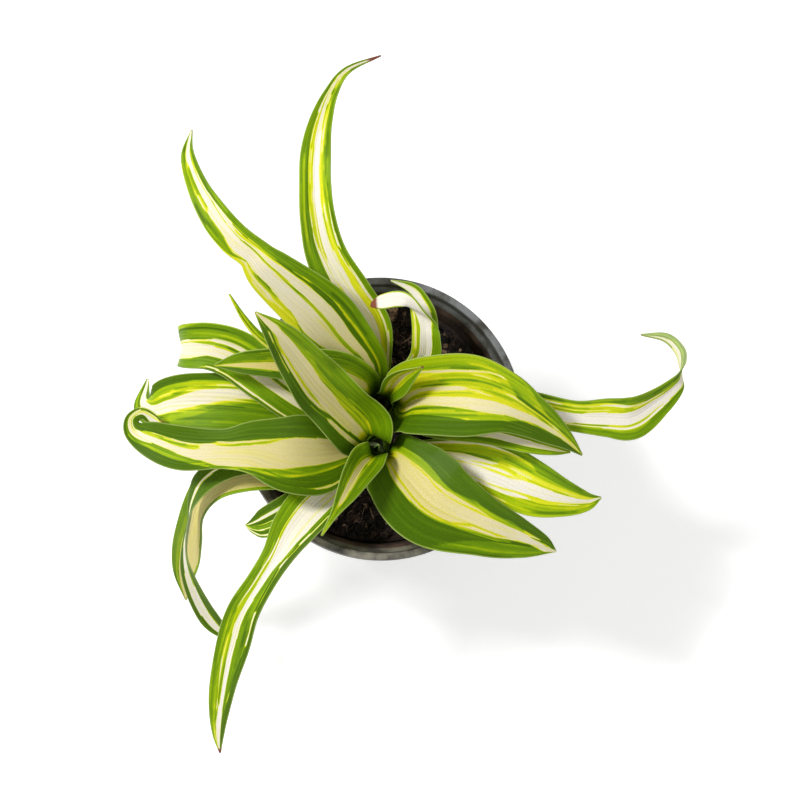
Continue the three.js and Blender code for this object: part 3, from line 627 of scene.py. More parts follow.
# %% Back shoot
BACK_SHOOT = {
    "leaf_north_long": dict(
        azimuth=99, height=56.2, wave=(.4, 26), cream_and_shade=(.7, 0, .1), dry=(.93, 1.3),
        rows=[[-.8, 14.6, 61.8, 6.4, 0, 16], [-3.2, 22.2, 67.6, 10.4, 0, 16],
              [-9.2, 29.8, 73.4, 11.8, 0, 16], [-14.7, 38.1, 79, 10.3, 0, 17],
              [-17.1, 46.3, 83.4, 8.8, 0, 17], [-17.8, 54, 85.6, 7.8, 0, 16],
              [-17.6, 61.4, 85.8, 7.4, 0, 14], [-16.3, 69, 84.2, 5.6, 0, 12],
              [-13.4, 77.2, 80.4, 3.4, 0, 10], [-9, 83.9, 76, 2, 0, 10],
              [-.2, 89, 70, TIP_WIDTH, 0, 8]],
        stripes="GWYWYLWG",
        edges={0: (-.5, -.2, -.2, .35, .6, .7, .8), .3: (-.4, -.2, -.12, .33, .58, .66, .78),
               .37: (-.36, -.2, -.16, .4, .66, .7, .78),
               .39: (-.35, -.22, -.02, .42, .66, .72, .78),
               .5: (-.47, -.44, -.05, .35, .57, .76, .8), .54: (-.5, -.5, -.08, .33, .53, .78, .78),
               .6: (-.5, -.5, -.12, .29, .48, .6, .6), .7: (-.5, -.5, -.12, .25, .45, .6, .6),
               .8: (-.42, -.42, -.35, .12, .25, .4, .4), 1: (-.5, -.5, -.4, .2, .3, .4, .4)}),
    "leaf_northwest_broad": dict(
        azimuth=123, height=58, wave=(.5, 30), cream_and_shade=(1, .3, .05), dry=(.985, .6),
        rows=[[-3.4, 12.6, 64.6, 9.5, 0, 20], [-10.2, 18.7, 71.4, 14.5, 0, 18],
              [-17.4, 25, 78.6, 15.4, 0, 15], [-28.6, 32.7, 86.2, 11.6, 0, 12],
              [-32.9, 36.9, 88, 8, 0, 12], [-37.3, 40.2, 89, 7.8, 0, 12],
              [-41.6, 45.3, 89, 7.2, 0, 14], [-45.7, 52.8, 87, 5.2, 0, 12],
              [-48, 61.3, 82.5, 3.2, 0, 10], [-47, 68.4, 78, TIP_WIDTH, 0, 8]],
        stripes="YGYWLWYDYG",
        edges={0: (-1, -.8, -.8, -.18, -.05, .25, .25, .48, .6),
               .2: (-1, -.66, -.66, -.18, -.02, .33, .33, .52, .62),
               .3: (-1, -.8, -.8, -.1, 0, .38, .38, .54, .62),
               .33: (-.9, -.85, -.8, -.09, .02, .39, .4, .58, .58),
               .4: (-.62, -.62, -.62, -.03, .08, .44, .46, .6, .6),
               .5: (-.52, -.52, -.52, .1, .2, .48, .54, .6, .6),
               .57: (-.62, -.62, -.62, .14, .22, .45, .54, .57, .58),
               .62: (-.9, -.7, -.6, .2, .28, .42, .58, .6, .62),
               .66: (-.95, -.4, -.36, .27, .34, .45, .6, .62, .64),
               .73: (-1, -.36, -.32, .4, .45, .5, .6, .62, .64),
               .745: (-1, -.45, -.08, .42, .48, .5, .6, .62, .64),
               .85: (-1, -.45, -.1, .36, .42, .48, .55, .56, .57),
               1: (-1, -.6, -.4, .36, .42, .46, .5, .52, .54)}),
    "leaf_northwest_sliver": dict(
        azimuth=168, height=56, cream_and_shade=(.4, 0, 0), dry=(.98, .5),
        rows=[[-9.3, 7.6, 65, 3.4, 0, 16], [-20.7, 12.2, 72.6, 3, 0, 16],
              [-29.5, 17.3, 76.4, 2.2, 0, 12], [-34.2, 22, 78, 1.6, 0, 10],
              [-38.2, 28.2, 80, TIP_WIDTH, 0, 8]],
        stripes="LYG", edges={0: (-.2, .2), 1: (-.1, .4)}),
    "leaf_west_narrow": dict(
        azimuth=146, height=59.8, cream_and_shade=(1, 1, .9),
        rows=[[-4.8, 8.4, 67.6, 7.5, 0, 26], [-11.3, 10.9, 73, 9.4, 0, 22],
              [-21, 11.7, 76.6, 8.8, 0, 18], [-28.8, 12, 78, 7.2, 0, 16],
              [-35.7, 11.9, 78.2, 5, 0, 14], [-41.7, 11.3, 77.2, TIP_WIDTH, 0, 10]],
        stripes="DLWLG", edges={.7: (-.6, -.55, 0, .2), 1: (-.5, -.4, 0, .2)}),
    "leaf_north_folded": dict(
        cream_and_shade=(.5, .05, 0), dry=(.93, 1.2),
        margins=[[2.2, 8.5, 58.6, 5.3, 5.5, 58.6, 14], [4.6, 12.6, 65, 10, 10.4, 65.4, 14],
                 [6.4, 15.4, 70, 13.6, 14.6, 70.6, 12], [6.5, 19.4, 73.6, 13.3, 18.6, 74, 10],
                 [6.2, 22.8, 75.6, 12.7, 20.6, 75, 6], [5.7, 25.2, 77.2, 12, 21.8, 76.2, 0],
                 [4.8, 25.6, 78.6, 9.2, 24, 79.4, 0], [3.6, 25.4, 79.4, 5.8, 27.6, 81.4, 2],
                 [1.8, 25.3, 79.2, 2.6, 29, 80.4, 4], [-1.4, 25, 78.2, -1.6, 28.2, 78.8, 4],
                 [-4, 25.6, 77.3, -3.9, 26.5, 77.3, 2]],
        stripes="LWYG", edges={0: (-.5, .3, .42), .4: (-.52, .32, .42), .55: (-.44, .45, .55),
                               .7: (-.9, .8, .9), 1: (-1, 1, 1)}),
    "leaf_north_small": dict(
        azimuth=62, height=54.6, base_fold=12, cream_and_shade=(.5, 0, 0),
        rows=[[8, 13, 60.6, 4.6, 0, 14], [10.8, 18.6, 66.6, 5, 0, 12], [11.1, 24.2, 69.8, 4, 0, 10],
              [9.3, 28.2, 71.8, 3.2, 0, 10], [6.4, 31, 73, 2.8, 0, 10],
              [1.4, 32.5, 73.8, TIP_WIDTH, 0, 8]],
        stripes="GWYG", edges={0: (-.6, .5, .6), .4: (-.5, .6, .7), .6: (-.8, .45, .5),
                               .75: (-.9, .2, .3), 1: (-.9, .15, .25)}),
    "leaf_northeast_young": dict(
        azimuth=48, height=63.2, reach=1.4, cream_and_shade=(.9, .8, .5), dry=(.96, 1.2),
        rows=[[1.8, 6, 67.6, 6, 0, 48], [3.3, 7.8, 74, 7.8, 0, 38], [5, 9.1, 79.4, 5.6, 0, 34],
              [7.8, 10.1, 86, TIP_WIDTH, 0, 40]],
        stripes="GYWYG", edges={0: (-.8, -.3, .1, .4), .6: (-.75, -.3, .1, .4),
                                1: (-.8, 0, 0, .5)}),
    "leaf_east_broad": dict(
        azimuth=2, height=60.2, wave=(.5, 24), cream_and_shade=(.9, .5, .5), dry=(.99, .5),
        rows=[[5.2, 2.4, 65.4, 15, 0, 36], [8, 3.6, 70.6, 20.4, 0, 36],
              [12.4, 3.8, 75.4, 21.4, 0, 28], [20.6, 3.5, 79, 20.4, 0, 16],
              [28, 1.9, 79.8, 15.4, 0, 14], [33.9, -.9, 78.6, 11, 0, 14],
              [39.4, -3.9, 76, 7.8, 0, 14], [44.2, -6.8, 73.6, 4, 0, 12],
              [48.3, -9.9, 70.4, TIP_WIDTH, 0, 10]],
        stripes="GLWYWYWLD",
        edges={0: (-1, -.72, -.68, -.3, -.2, -.05, .22, .42),
               .25: (-1, -.7, -.66, -.28, -.18, -.04, .21, .45),
               .3: (-1, -.68, -.62, -.27, -.18, -.03, .24, .5),
               .4: (-1, -.64, -.59, -.24, -.17, .01, .31, .56),
               .43: (-1, -.64, -.59, -.2, -.2, .02, .33, .58),
               .5: (-1, -.72, -.66, -.1, -.1, .04, .38, .6),
               .54: (-1, -.74, -.7, -.1, -.1, .04, .4, .6),
               .56: (-1, -.7, -.7, -.1, -.1, .04, .4, .6),
               .62: (-.95, -.3, -.3, -.05, -.05, .03, .4, .58),
               .66: (-.85, -.3, -.3, -.1, -.1, -.02, .38, .42),
               .7: (-.7, -.36, -.36, -.14, -.14, -.12, .32, .36),
               .8: (-.42, -.4, -.4, -.22, -.22, -.2, .18, .22),
               .9: (-.36, -.35, -.35, -.3, -.3, -.26, .14, .18)}),
    "leaf_east_hidden": dict(
        azimuth=326, height=57.2, cream_and_shade=(.7, .3, .1),
        rows=[[12.4, -2.8, 66, 5.6, 0, 12], [24.9, -4.4, 72.2, 6.8, 0, 10],
              [34.6, -6.8, 72.8, 6.2, 0, 10], [41, -8.2, 71.2, 3.8, 0, 8],
              [45.6, -9.1, 69.2, TIP_WIDTH, 0, 8]],
        stripes="GWG", edges={0: (-.3, .4), .6: (-.1, .5)}),
    "leaf_east_curled": dict(
        azimuth=4, height=55.4, wave=(.4, 22), cream_and_shade=(.5, 0, 0), dry=(.965, .5),
        rows=[[11, 4.8, 61.6, 6.5, 0, 12], [23, 3.8, 67, 8.4, 0, 12], [35.1, 2, 68.8, 8.2, 0, 12],
              [46.4, -.1, 68.4, 7.6, 0, 12], [54.8, -.4, 67, 9.6, 0, 14],
              [61.6, -.3, 65.6, 10.8, 0, 16], [68.8, 4.1, 62.6, 7.4, 0, 18],
              [74, 8.4, 60.2, 5.2, -8, 16], [75.4, 11, 58.8, 4.2, -28, 12],
              [76.1, 14.4, 57.5, 3.2, -72, 8], [75.6, 17.6, 56.7, 2.9, -98, 8],
              [72.4, 20.8, 56, 2.3, -103, 6], [66.2, 21.6, 55.6, TIP_WIDTH, -103, 4]],
        stripes="GYLWLWLG",
        edges={0: (-.9, -.6, -.2, .5, .56, .62, .7), .45: (-.85, -.6, -.2, .5, .56, .62, .7),
               .55: (-.8, -.62, -.25, .4, .48, .56, .66), .62: (-.62, -.5, -.32, .3, .4, .48, .7),
               .7: (-.45, -.42, -.3, .34, .42, .5, .64), .78: (-.3, -.28, -.2, .5, .56, .62, .7),
               .84: (-.15, -.1, 0, .86, .88, .9, .92), 1: (-.1, -.05, .05, .86, .88, .9, .92)}),
}
print("back shoot:", len(BACK_SHOOT), "leaves")

# %% [markdown]
# ## The leaves of the front shoot
#
# This shoot is the younger and the taller one, so its upright leaf comes nearest to the eye. The
# spear at its heart is the next leaf, still rolled.

# %% Front shoot
FRONT_SHOOT = {
    "leaf_northwest_upright": dict(
        azimuth=126, height=62, reach=3.2, wave=(.9, 17), cream_and_shade=(.9, .7, .5), dry=(.99, .6),
        rows=[[-4.2, -4.2, 66, 13.2, 12, 48], [-6.8, -1.8, 70.8, 18, 0, 36],
              [-12, 2.2, 77.4, 16, 0, 28], [-17, 6, 84, 14.4, 0, 20],
              [-21.3, 10.3, 90, 12.2, 0, 18], [-27.4, 16.3, 98, 7.4, 0, 16],
              [-33, 21, 102, TIP_WIDTH, 0, 12]],
        stripes="DWDWLWLG",
        edges={0: (-.65, -.5, -.42, -.4, -.4, 0, .35), .2: (-.64, -.5, -.42, -.42, -.42, -.03, .42),
               .33: (-.66, -.56, -.46, -.46, -.46, .03, .45),
               .35: (-.62, -.62, -.47, -.46, -.46, .05, .4),
               .42: (-.68, -.68, -.56, -.48, -.45, .14, .35),
               .5: (-.7, -.7, -.58, -.49, -.42, .17, .38),
               .6: (-.7, -.7, -.58, -.5, -.42, .22, .42), .7: (-.7, -.7, -.58, -.5, -.4, .26, .48),
               .74: (-.7, -.7, -.58, -.54, -.38, .28, .44),
               .82: (-.66, -.66, -.55, -.52, -.36, .32, .42),
               .86: (-.6, -.6, -.4, -.4, -.2, .34, .42), .9: (-.5, -.5, -.25, -.25, -.22, .5, .55),
               1: (-.5, -.5, -.25, -.25, -.22, .6, .65)}),
    "leaf_west_hanging": dict(
        azimuth=136, height=58.6, wave=(.4, 22), cream_and_shade=(.4, .25, .25),
        rows=[[-11.5, -1, 64.4, 8, 0, 14], [-20.6, 3.8, 68.2, 12, 0, 14],
              [-29.4, 9.8, 70.2, 12.8, 0, 14], [-36.3, 14.6, 70.8, 12.4, 0, 14],
              [-42, 16.6, 70.2, 11.6, 0, 14], [-47.2, 17, 68, 11, 0, 16],
              [-48.9, 17.3, 63, 9.6, 0, 16], [-48.2, 17.4, 53, 6.6, 0, 12],
              [-46.4, 17.8, 43.6, 3.4, 0, 8], [-45, 18, 38, TIP_WIDTH, 0, 8]],
        stripes="DWGWLWGL",
        edges={0: (-.9, -.84, -.3, .05, .15, .3, 1), .3: (-.9, -.83, -.33, .05, .15, .3, 1),
               .45: (-.9, -.83, -.36, .03, .2, .38, 1), .55: (-.92, -.86, -.42, .03, .22, .37, 1),
               .58: (-.94, -.9, -.43, .08, .28, .32, 1), .62: (-1, -1, -.55, .18, .26, .32, .9),
               .68: (-1, -1, -.6, .22, .26, .3, .8), 1: (-1, -1, -.6, .25, .3, .34, .8)}),
    "leaf_west_bent": dict(
        azimuth=154, height=57.2, wave=(.6, 20), cream_and_shade=(.4, .3, .1),
        rows=[[-12.6, -1.6, 62.4, 7, 0, 12], [-23, 1.2, 65, 11, 0, 10], [-35.3, 3, 66.6, 14, 0, 10],
              [-45, 3.6, 65.4, 14.2, 0, 10], [-51.6, 3.5, 62.8, 13, 0, 10],
              [-55.8, 2.8, 59.4, 10, 0, 10], [-58.4, 4.6, 55.8, 5.2, -36, 10],
              [-57.4, 10.8, 51.6, TIP_WIDTH, -56, 8]],
        stripes="GGLYWLYLD",
        edges={0: (-.2, .2, .25, .3, .6, .66, .7, .76),
               .45: (-.3, .1, .15, .24, .56, .62, .68, .75),
               .55: (-.45, -.15, -.02, .08, .5, .58, .64, .76),
               .65: (-.6, -.49, -.26, -.15, .37, .5, .58, .77),
               .74: (-.75, -.65, -.37, -.27, .15, .34, .44, .72),
               .83: (-.75, -.65, -.4, -.3, .1, .3, .4, .65),
               .9: (-.55, -.5, -.45, -.45, .35, .42, .45, .48),
               1: (-.5, -.45, -.45, -.45, .35, .42, .45, .48)}),
    "leaf_west_low": dict(
        azimuth=170, height=54.4, base_width=3.6,
        rows=[[-14, -4.2, 59.2, 6, 0, 12], [-24, -2.4, 62.8, 9, 0, 10],
              [-34, -1.6, 63.6, 8.4, 0, 10], [-42, -2, 61.6, 5, 0, 8],
              [-47, -3, 59, TIP_WIDTH, 0, 8]],
        stripes="DGWGD", edges={0: (-.5, -.1, .1, .5), .5: (-.4, -.05, .1, .4),
                                1: (-.3, 0, 0, .3)}),
    "leaf_west_broad": dict(
        azimuth=186, height=60, wave=(.5, 24), cream_and_shade=(1, .7, 0), dry=(.96, 1),
        rows=[[-10, -9, 65.8, 12, 0, 16], [-16.8, -10.2, 71, 19, 0, 14],
              [-24.2, -10.2, 74.8, 19.4, 0, 14], [-32.2, -8.7, 75.8, 13.6, 0, 14],
              [-39.3, -8.8, 75.2, 10, 0, 14], [-48.8, -8.6, 73, 11, 0, 16],
              [-56, -6.2, 70, 9.2, 0, 16], [-60.4, -3.8, 68, 5.8, -14, 14],
              [-61.3, -.9, 67, 3.4, -34, 8], [-59, .8, 66.6, 2.7, -46, 6],
              [-56.2, -.6, 66.2, 2.7, -54, 6], [-53.3, -2.4, 66.6, TIP_WIDTH, -54, 4]],
        stripes="DWDLGWLWD",
        edges={0: (-.88, -.8, -.44, -.36, -.2, .46, .46, .46),
               .2: (-.87, -.81, -.45, -.38, -.22, .47, .47, .47),
               .27: (-.84, -.82, -.5, -.42, -.26, .47, .47, .47),
               .3: (-.83, -.83, -.55, -.46, -.3, .46, .46, .46),
               .36: (-.85, -.85, -.68, -.58, -.45, .38, .4, .42),
               .4: (-.9, -.9, -.78, -.7, -.62, .22, .3, .36),
               .45: (-1, -1, -.88, -.82, -.76, .1, .22, .3),
               .5: (-1, -1, -.95, -.92, -.88, .13, .27, .34),
               .55: (-1, -1, -1, -1, -.86, .22, .38, .42), .56: (-1, -1, -1, -1, -.8, .3, .32, .34),
               .6: (-1, -1, -.8, -.62, -.54, .28, .28, .31),
               .615: (-1, -1, -.75, -.6, -.5, .02, .27, .31),
               .65: (-1, -1, -.6, -.45, -.33, .06, .29, .34),
               .7: (-1, -1, -.55, -.38, -.21, .12, .34, .4),
               .77: (-1, -1, -.5, -.36, -.2, .17, .38, .44),
               .8: (-1, -1, -.6, -.5, -.32, .17, .42, .42),
               .84: (-1, -1, -.8, -.7, -.45, -.05, .05, .1),
               .89: (-1, -1, -.8, -.7, -.5, -.1, 0, .06),
               .93: (-1, -1, -.85, -.8, -.7, .2, .3, .36),
               .96: (-1, -1, -1, -1, -.8, .75, .8, .85)}),
    "leaf_southwest_drooping": dict(
        azimuth=207, height=56, cream_and_shade=(.9, .9, .8),
        rows=[[-12.6, -11.4, 61.2, 6.6, 0, 12], [-23, -12.8, 64.6, 10, 0, 12],
              [-33.6, -12.8, 65.6, 12, 0, 12], [-40.8, -15.4, 62, 10.6, 0, 14],
              [-44.9, -20.6, 54.6, 8.4, 6, 14], [-46.5, -26.8, 45.4, 8.4, 24, 10],
              [-47.4, -32.2, 36.8, 8.2, 32, 8], [-48, -37.4, 30, 5.6, 34, 8],
              [-47.4, -43.3, 23.6, TIP_WIDTH, 34, 8]],
        stripes="GWG", edges={0: (-.87, .42)}),
    "leaf_southwest_twisted": dict(
        azimuth=205, height=58.6, base_width=3.4, cream_and_shade=(.4, .1, 0),
        rows=[[-12.6, -10.2, 64.2, 4.6, 0, 12], [-25, -10.8, 68.6, 6, 0, 12],
              [-36.4, -12, 69.6, 6.2, 0, 12], [-43.4, -15.4, 67.4, 5.6, 8, 14],
              [-46.4, -20.4, 62, 4.8, -24, 14], [-47.4, -25.8, 56, 4, -42, 12],
              [-48, -31.4, 48.8, 3.8, -22, 10], [-47, -37.4, 41, 4.2, 24, 10],
              [-44, -44.2, 32.4, 4.8, 52, 10], [-40.2, -49.6, 26.4, 4.6, 62, 10],
              [-34.8, -54.4, 21.4, TIP_WIDTH, 62, 8]],
        stripes="DLWD", edges={.5: (.05, .1, .3), .62: (-.4, -.25, .55)}),
    "leaf_southwest_short": dict(
        azimuth=232, height=54.6, base_width=3.6, cream_and_shade=(0, 0, 0),
        rows=[[-10.6, -15, 59, 5.6, 0, 12], [-18.8, -20.2, 64, 7.6, 0, 12],
              [-25, -24, 65.4, 8, 0, 12], [-29.2, -26, 63.6, 7, 0, 12],
              [-31.6, -26.4, 61.4, 4, 0, 10], [-33.6, -26.2, 59.4, TIP_WIDTH, 0, 8]],
        stripes="DWDWGWDWD", edges={0: (-.9, -.8, -.45, -.38, -.1, 0, .35, .5)}),
    "leaf_southwest_long": dict(
        azimuth=243, height=57.3, wave=(.4, 24), cream_and_shade=(.3, 0, 0), dry=(.97, 1),
        rows=[[-8.6, -14.8, 62.6, 8, 0, 12], [-16.6, -21.2, 67.8, 12.2, 0, 14],
              [-22.3, -27.7, 69.8, 11, 0, 16], [-26.4, -34.4, 70.4, 8, 0, 22],
              [-30.2, -40.5, 69.4, 7.6, 0, 24], [-34.3, -47.5, 67, 8.2, 0, 18],
              [-36.7, -55.4, 62.6, 8.6, 0, 14], [-38.8, -64.2, 57, 7, 0, 14],
              [-39.9, -71.9, 51.6, 5, 0, 12], [-40, -77.5, 47.4, 2.9, 0, 10],
              [-39.5, -81.8, 44, TIP_WIDTH, 0, 8]],
        stripes="DWDGWLWGLG",
        edges={0: (-.8, -.76, -.74, -.62, .38, .42, .46, .62, .66),
               .3: (-.8, -.76, -.74, -.6, .38, .42, .46, .64, .69),
               .36: (-.74, -.7, -.66, -.5, .34, .42, .46, .6, .66),
               .41: (-.62, -.56, -.5, -.38, .26, .4, .5, .6, .64),
               .43: (-.66, -.6, -.52, -.3, .24, .4, .5, .58, .62),
               .5: (-.72, -.66, -.6, -.2, .22, .38, .48, .58, .6),
               .55: (-.75, -.72, -.66, -.1, .2, .45, .5, .6, .6),
               .6: (-.78, -.78, -.7, -.05, .32, .6, .6, .7, .7),
               .7: (-.7, -.7, -.66, -.12, .26, .52, .52, .6, .6),
               .8: (-.6, -.6, -.55, -.28, .14, .35, .35, .5, .5),
               .86: (-.5, -.5, -.45, -.33, .15, .3, .3, .5, .5),
               .93: (-.45, -.45, -.42, -.38, .35, .42, .42, .6, .6)}),
    "leaf_southwest_young": dict(
        azimuth=240, height=63.4, reach=2.6, cream_and_shade=(.9, .8, .6),
        rows=[[-3.1, -10.3, 68, 8.2, 0, 48], [-5.4, -12.4, 73, 9.6, 0, 32],
              [-8.3, -16.2, 80, 7.8, 0, 24], [-11.2, -20.8, 86, 5, 0, 18],
              [-14, -25.2, 89.6, 1.9, 0, 14], [-17.2, -30.4, 91, TIP_WIDTH, 0, 12]],
        stripes="GLWLG",
        edges={0: (-.35, -.12, .2, .3), .3: (-.3, -.05, .32, .45), .5: (-.3, -.15, .3, .42),
               .75: (-.35, -.2, .3, .45), .82: (-.1, .1, .1, .5), .9: (-.6, 0, 0, .9)}),
    "leaf_southeast_broad": dict(
        azimuth=300, height=59.6, wave=(.5, 26), cream_and_shade=(.9, .75, .15), dry=(.99, .5),
        rows=[[2.2, -10.7, 65.8, 14.2, -12, 30], [5.4, -16, 71, 22.2, 0, 20],
              [11.4, -22.6, 74, 23.4, 0, 14], [22.8, -27.6, 73.8, 16, 0, 14],
              [32, -30.3, 71, 10.2, 0, 14], [38.8, -31.8, 68, 4.8, 0, 12],
              [42.2, -33.2, 66, TIP_WIDTH, 0, 10]],
        stripes="DLWYWYWYDG",
        edges={0: (-.6, -.34, -.34, -.34, .14, .2, .26, .3, 1),
               .2: (-.6, -.38, -.34, -.34, .14, .2, .28, .32, 1),
               .3: (-.56, -.4, -.36, -.36, .15, .2, .28, .31, 1),
               .36: (-.52, -.42, -.34, -.32, .15, .2, .26, .3, 1),
               .45: (-.5, -.44, -.35, -.32, .17, .2, .23, .3, 1),
               .5: (-.5, -.44, -.36, -.32, .18, .2, .22, .3, .8),
               .58: (-.58, -.46, -.4, -.33, .02, .1, .2, .3, .56),
               .68: (-.56, -.4, -.4, -.38, .05, .15, .22, .33, .42),
               .7: (-.56, -.4, -.4, -.38, .06, .2, .2, .34, .4),
               .76: (-.56, -.39, -.39, -.38, .09, .14, .14, .33, .38),
               .78: (-.52, -.4, -.4, -.37, .1, .14, .14, .2, .35),
               .85: (-.42, -.36, -.36, -.32, .2, .22, .22, .25, .35),
               .9: (-.3, -.22, -.22, -.16, .44, .46, .46, .5, .55),
               .95: (0, .05, .05, .1, .8, .82, .82, .85, .9)}),
    "leaf_southeast_lower": dict(
        azimuth=336, height=57, wave=(.4, 24), cream_and_shade=(.7, .05, 0), dry=(.99, .5),
        rows=[[9, -9.4, 60.8, 8, 0, 12], [18.5, -11.2, 64.6, 12.4, 0, 12],
              [27.6, -13.8, 66.8, 15, 0, 12], [36.3, -18, 67.2, 14, 0, 12],
              [44, -20.2, 65.6, 9.4, 0, 14], [50.3, -20.8, 63.2, 4.8, 0, 12],
              [54.4, -19.8, 61.4, TIP_WIDTH, 0, 10]],
        stripes="GWLWYWYWL",
        edges={0: (-.88, -.78, -.42, -.08, -.02, .4, .44, .52),
               .33: (-.88, -.8, -.4, -.1, -.02, .4, .44, .52),
               .4: (-.84, -.76, -.32, -.15, -.02, .42, .46, .56),
               .47: (-.78, -.73, -.28, -.18, .04, .46, .5, .6),
               .49: (-.77, -.73, -.4, -.4, .04, .46, .5, .6),
               .55: (-.75, -.74, -.4, -.4, .02, .42, .47, .6),
               .57: (-.75, -.75, -.42, -.42, -.03, .38, .44, .58),
               .6: (-.75, -.75, -.48, -.48, -.1, .32, .38, .52),
               .65: (-.6, -.6, -.47, -.47, -.17, .27, .36, .42),
               .67: (-.6, -.6, -.47, -.47, -.17, .27, .42, .42),
               .7: (-.6, -.6, -.46, -.46, -.17, .26, .45, .45),
               .8: (-.6, -.6, -.5, -.5, -.2, .25, .38, .38),
               1: (-.6, -.6, -.5, -.5, -.2, .2, .3, .3)}),
    "leaf_spear": dict(
        azimuth=60, height=64.3, reach=0, cream_and_shade=(0, 0, 0), rim=0,
        rows=[[-1.4, -7.1, 67, 3, 0, 60], [-1.7, -7.4, 70.6, TIP_WIDTH, 0, 50]],
        stripes="DGD", edges={0: (-.4, .4), .8: (-.3, .3), 1: (-1, 1)}),
}
print("front shoot:", len(FRONT_SHOOT), "leaves")

# %% Grow every leaf
GROWTH = ("azimuth", "height", "rows", "reach", "base_width", "base_fold")
FINISH = ("stripes", "edges", "wave", "cream_and_shade", "dry", "rim")
leaf_pieces, leaf_faces = [], 0
for crown, shoot in (("back", BACK_SHOOT), ("front", FRONT_SHOOT)):
    for name, leaf in shoot.items():
        growth, finish = ({key: leaf[key] for key in keys if key in leaf}
                          for keys in (GROWTH, FINISH))
        if "margins" in leaf:
            stations = between_margins(leaf["margins"])
        else:
            stations = arched(crown, **growth)
        piece = blade(name, stations, seed=len(leaf_pieces), **finish)
        leaf_pieces.append(piece)
        leaf_faces += len(piece.data.polygons)
        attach(piece, "root")
        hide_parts(name)
print("leaves:", len(leaf_pieces), "faces:", leaf_faces)

# %% [markdown]
# ## The pot
#
# A nursery pot is blown or pressed from thin dark plastic. It is turned here from one profile: a
# sloping wall, a shoulder, and an upright lip with rounded edges. The profile has a few more points
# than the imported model's, for the soft edges that a mould leaves.

# %% Turning a profile
POT_HEIGHT = 62
POT_LIP, POT_LIP_INSIDE, POT_LIP_DEPTH = 35, 33.2, 4.2
POT_SHOULDER, POT_BASE, POT_WALL, POT_FLOOR = 32.3, 24.5, 1.2, 1.4
POT_SIDES = 160


def turned(name, profile, sides):
    """A closed mesh turned about +Z from [radius, height] points in mm, from the base's middle."""
    ring = [(r, z) for r, z in profile if r > 0]
    angle = np.arange(sides) * 2 * math.pi / sides
    points = [(r * math.cos(a) * MM, r * math.sin(a) * MM, z * MM) for r, z in ring for a in angle]
    faces = []
    for j in range(len(ring) - 1):
        for k in range(sides):
            a, b = j * sides + k, j * sides + (k + 1) % sides
            faces.append((a, b, b + sides, a + sides))
    first, last = len(points), len(points) + 1
    points += [(0, 0, profile[0][1] * MM), (0, 0, profile[-1][1] * MM)]
    top = (len(ring) - 1) * sides
    for k in range(sides):
        faces.append((first, (k + 1) % sides, k))
        faces.append((last, top + k, top + (k + 1) % sides))
    return shaped(name, points, faces)


def rounded(corner, before, after, radius, steps=4):
    """Points of a rounded corner of a profile, towards the points before and after it."""
    corner, before, after = (np.array(point, float) for point in (corner, before, after))
    start = corner + unit(before - corner) * radius
    end = corner + unit(after - corner) * radius
    shares = np.linspace(0, 1, steps + 1)
    return [list((1 - t) ** 2 * start + 2 * t * (1 - t) * corner + t ** 2 * end) for t in shares]


# %% The pot's profile
def pot_inner_radius(height):
    slope = (POT_SHOULDER - POT_BASE) / (POT_HEIGHT - POT_LIP_DEPTH)
    return POT_BASE + slope * height - POT_WALL


lip_bottom = POT_HEIGHT - POT_LIP_DEPTH
outline = [  # each corner, and how far from it its rounding begins
    ([POT_BASE, 0], 0.9),
    ([POT_SHOULDER, lip_bottom - 0.3], 0.4),
    ([POT_LIP, lip_bottom], 0.5),
    ([POT_LIP, POT_HEIGHT], 0.5),
    ([POT_LIP_INSIDE, POT_HEIGHT], 0.5),
    ([POT_LIP_INSIDE - 0.2, lip_bottom + 1.2], 0.4),
    ([pot_inner_radius(lip_bottom - 1.2), lip_bottom - 1.2], 0.4),
    ([pot_inner_radius(POT_FLOOR), POT_FLOOR], 0.8),
]
corners = [[0, 0], *[corner for corner, _ in outline], [0, POT_FLOOR]]
profile = [[0, 0], [POT_BASE * 0.55, 0]]
for k, (corner, radius) in enumerate(outline):
    profile += rounded(corner, corners[k], corners[k + 2], radius)
profile += [[POT_BASE * 0.5, POT_FLOOR], [0, POT_FLOOR]]
pot = turned("nursery_pot", profile, POT_SIDES)
print("pot profile points:", len(profile))

# %% [markdown]
# ## Holes by a rule
#
# Six drain holes stand evenly on a circle in the base. A Geometry Nodes tree places one cutter on
# each point of a circle and takes them all away from the mesh. Its sizes are inputs, so the same
# tree also bores the holes in the soil that the two rootstocks stand in.

# %% Making and running a tree
def geometry_tree(name, inputs):
    """An empty Geometry Nodes tree that takes a mesh and the given inputs."""
    mesh = {"Geometry": "Geometry"}
    return node_group(name, {**mesh, **inputs}, mesh, "Geometry")


def hand_out(tree, result, geometry, material):
    """Ends a Geometry Nodes tree: makes its instances real and gives them a material."""
    whole = tree.add("GeometryNodeRealizeInstances", {"Geometry": geometry}).outputs[0]
    finish = tree.add("GeometryNodeSetMaterial", {"Geometry": whole, "Material": material})
    tree.fit(result, {"Geometry": finish.outputs[0]})


def grow(piece, group, values):
    """Runs a Geometry Nodes tree on a piece once, and keeps the result as its plain mesh."""
    modifier = piece.modifiers.new(group, "NODES")
    modifier.node_group = bpy.data.node_groups[group]
    for item in modifier.node_group.interface.items_tree:
        if item.item_type == "SOCKET" and item.in_out == "INPUT" and item.name in values:
            modifier[item.identifier] = values[item.name]
    graph = bpy.context.evaluated_depsgraph_get()
    mesh = bpy.data.meshes.new_from_object(piece.evaluated_get(graph))
    piece.modifiers.clear()
    piece.data = mesh
    return mesh


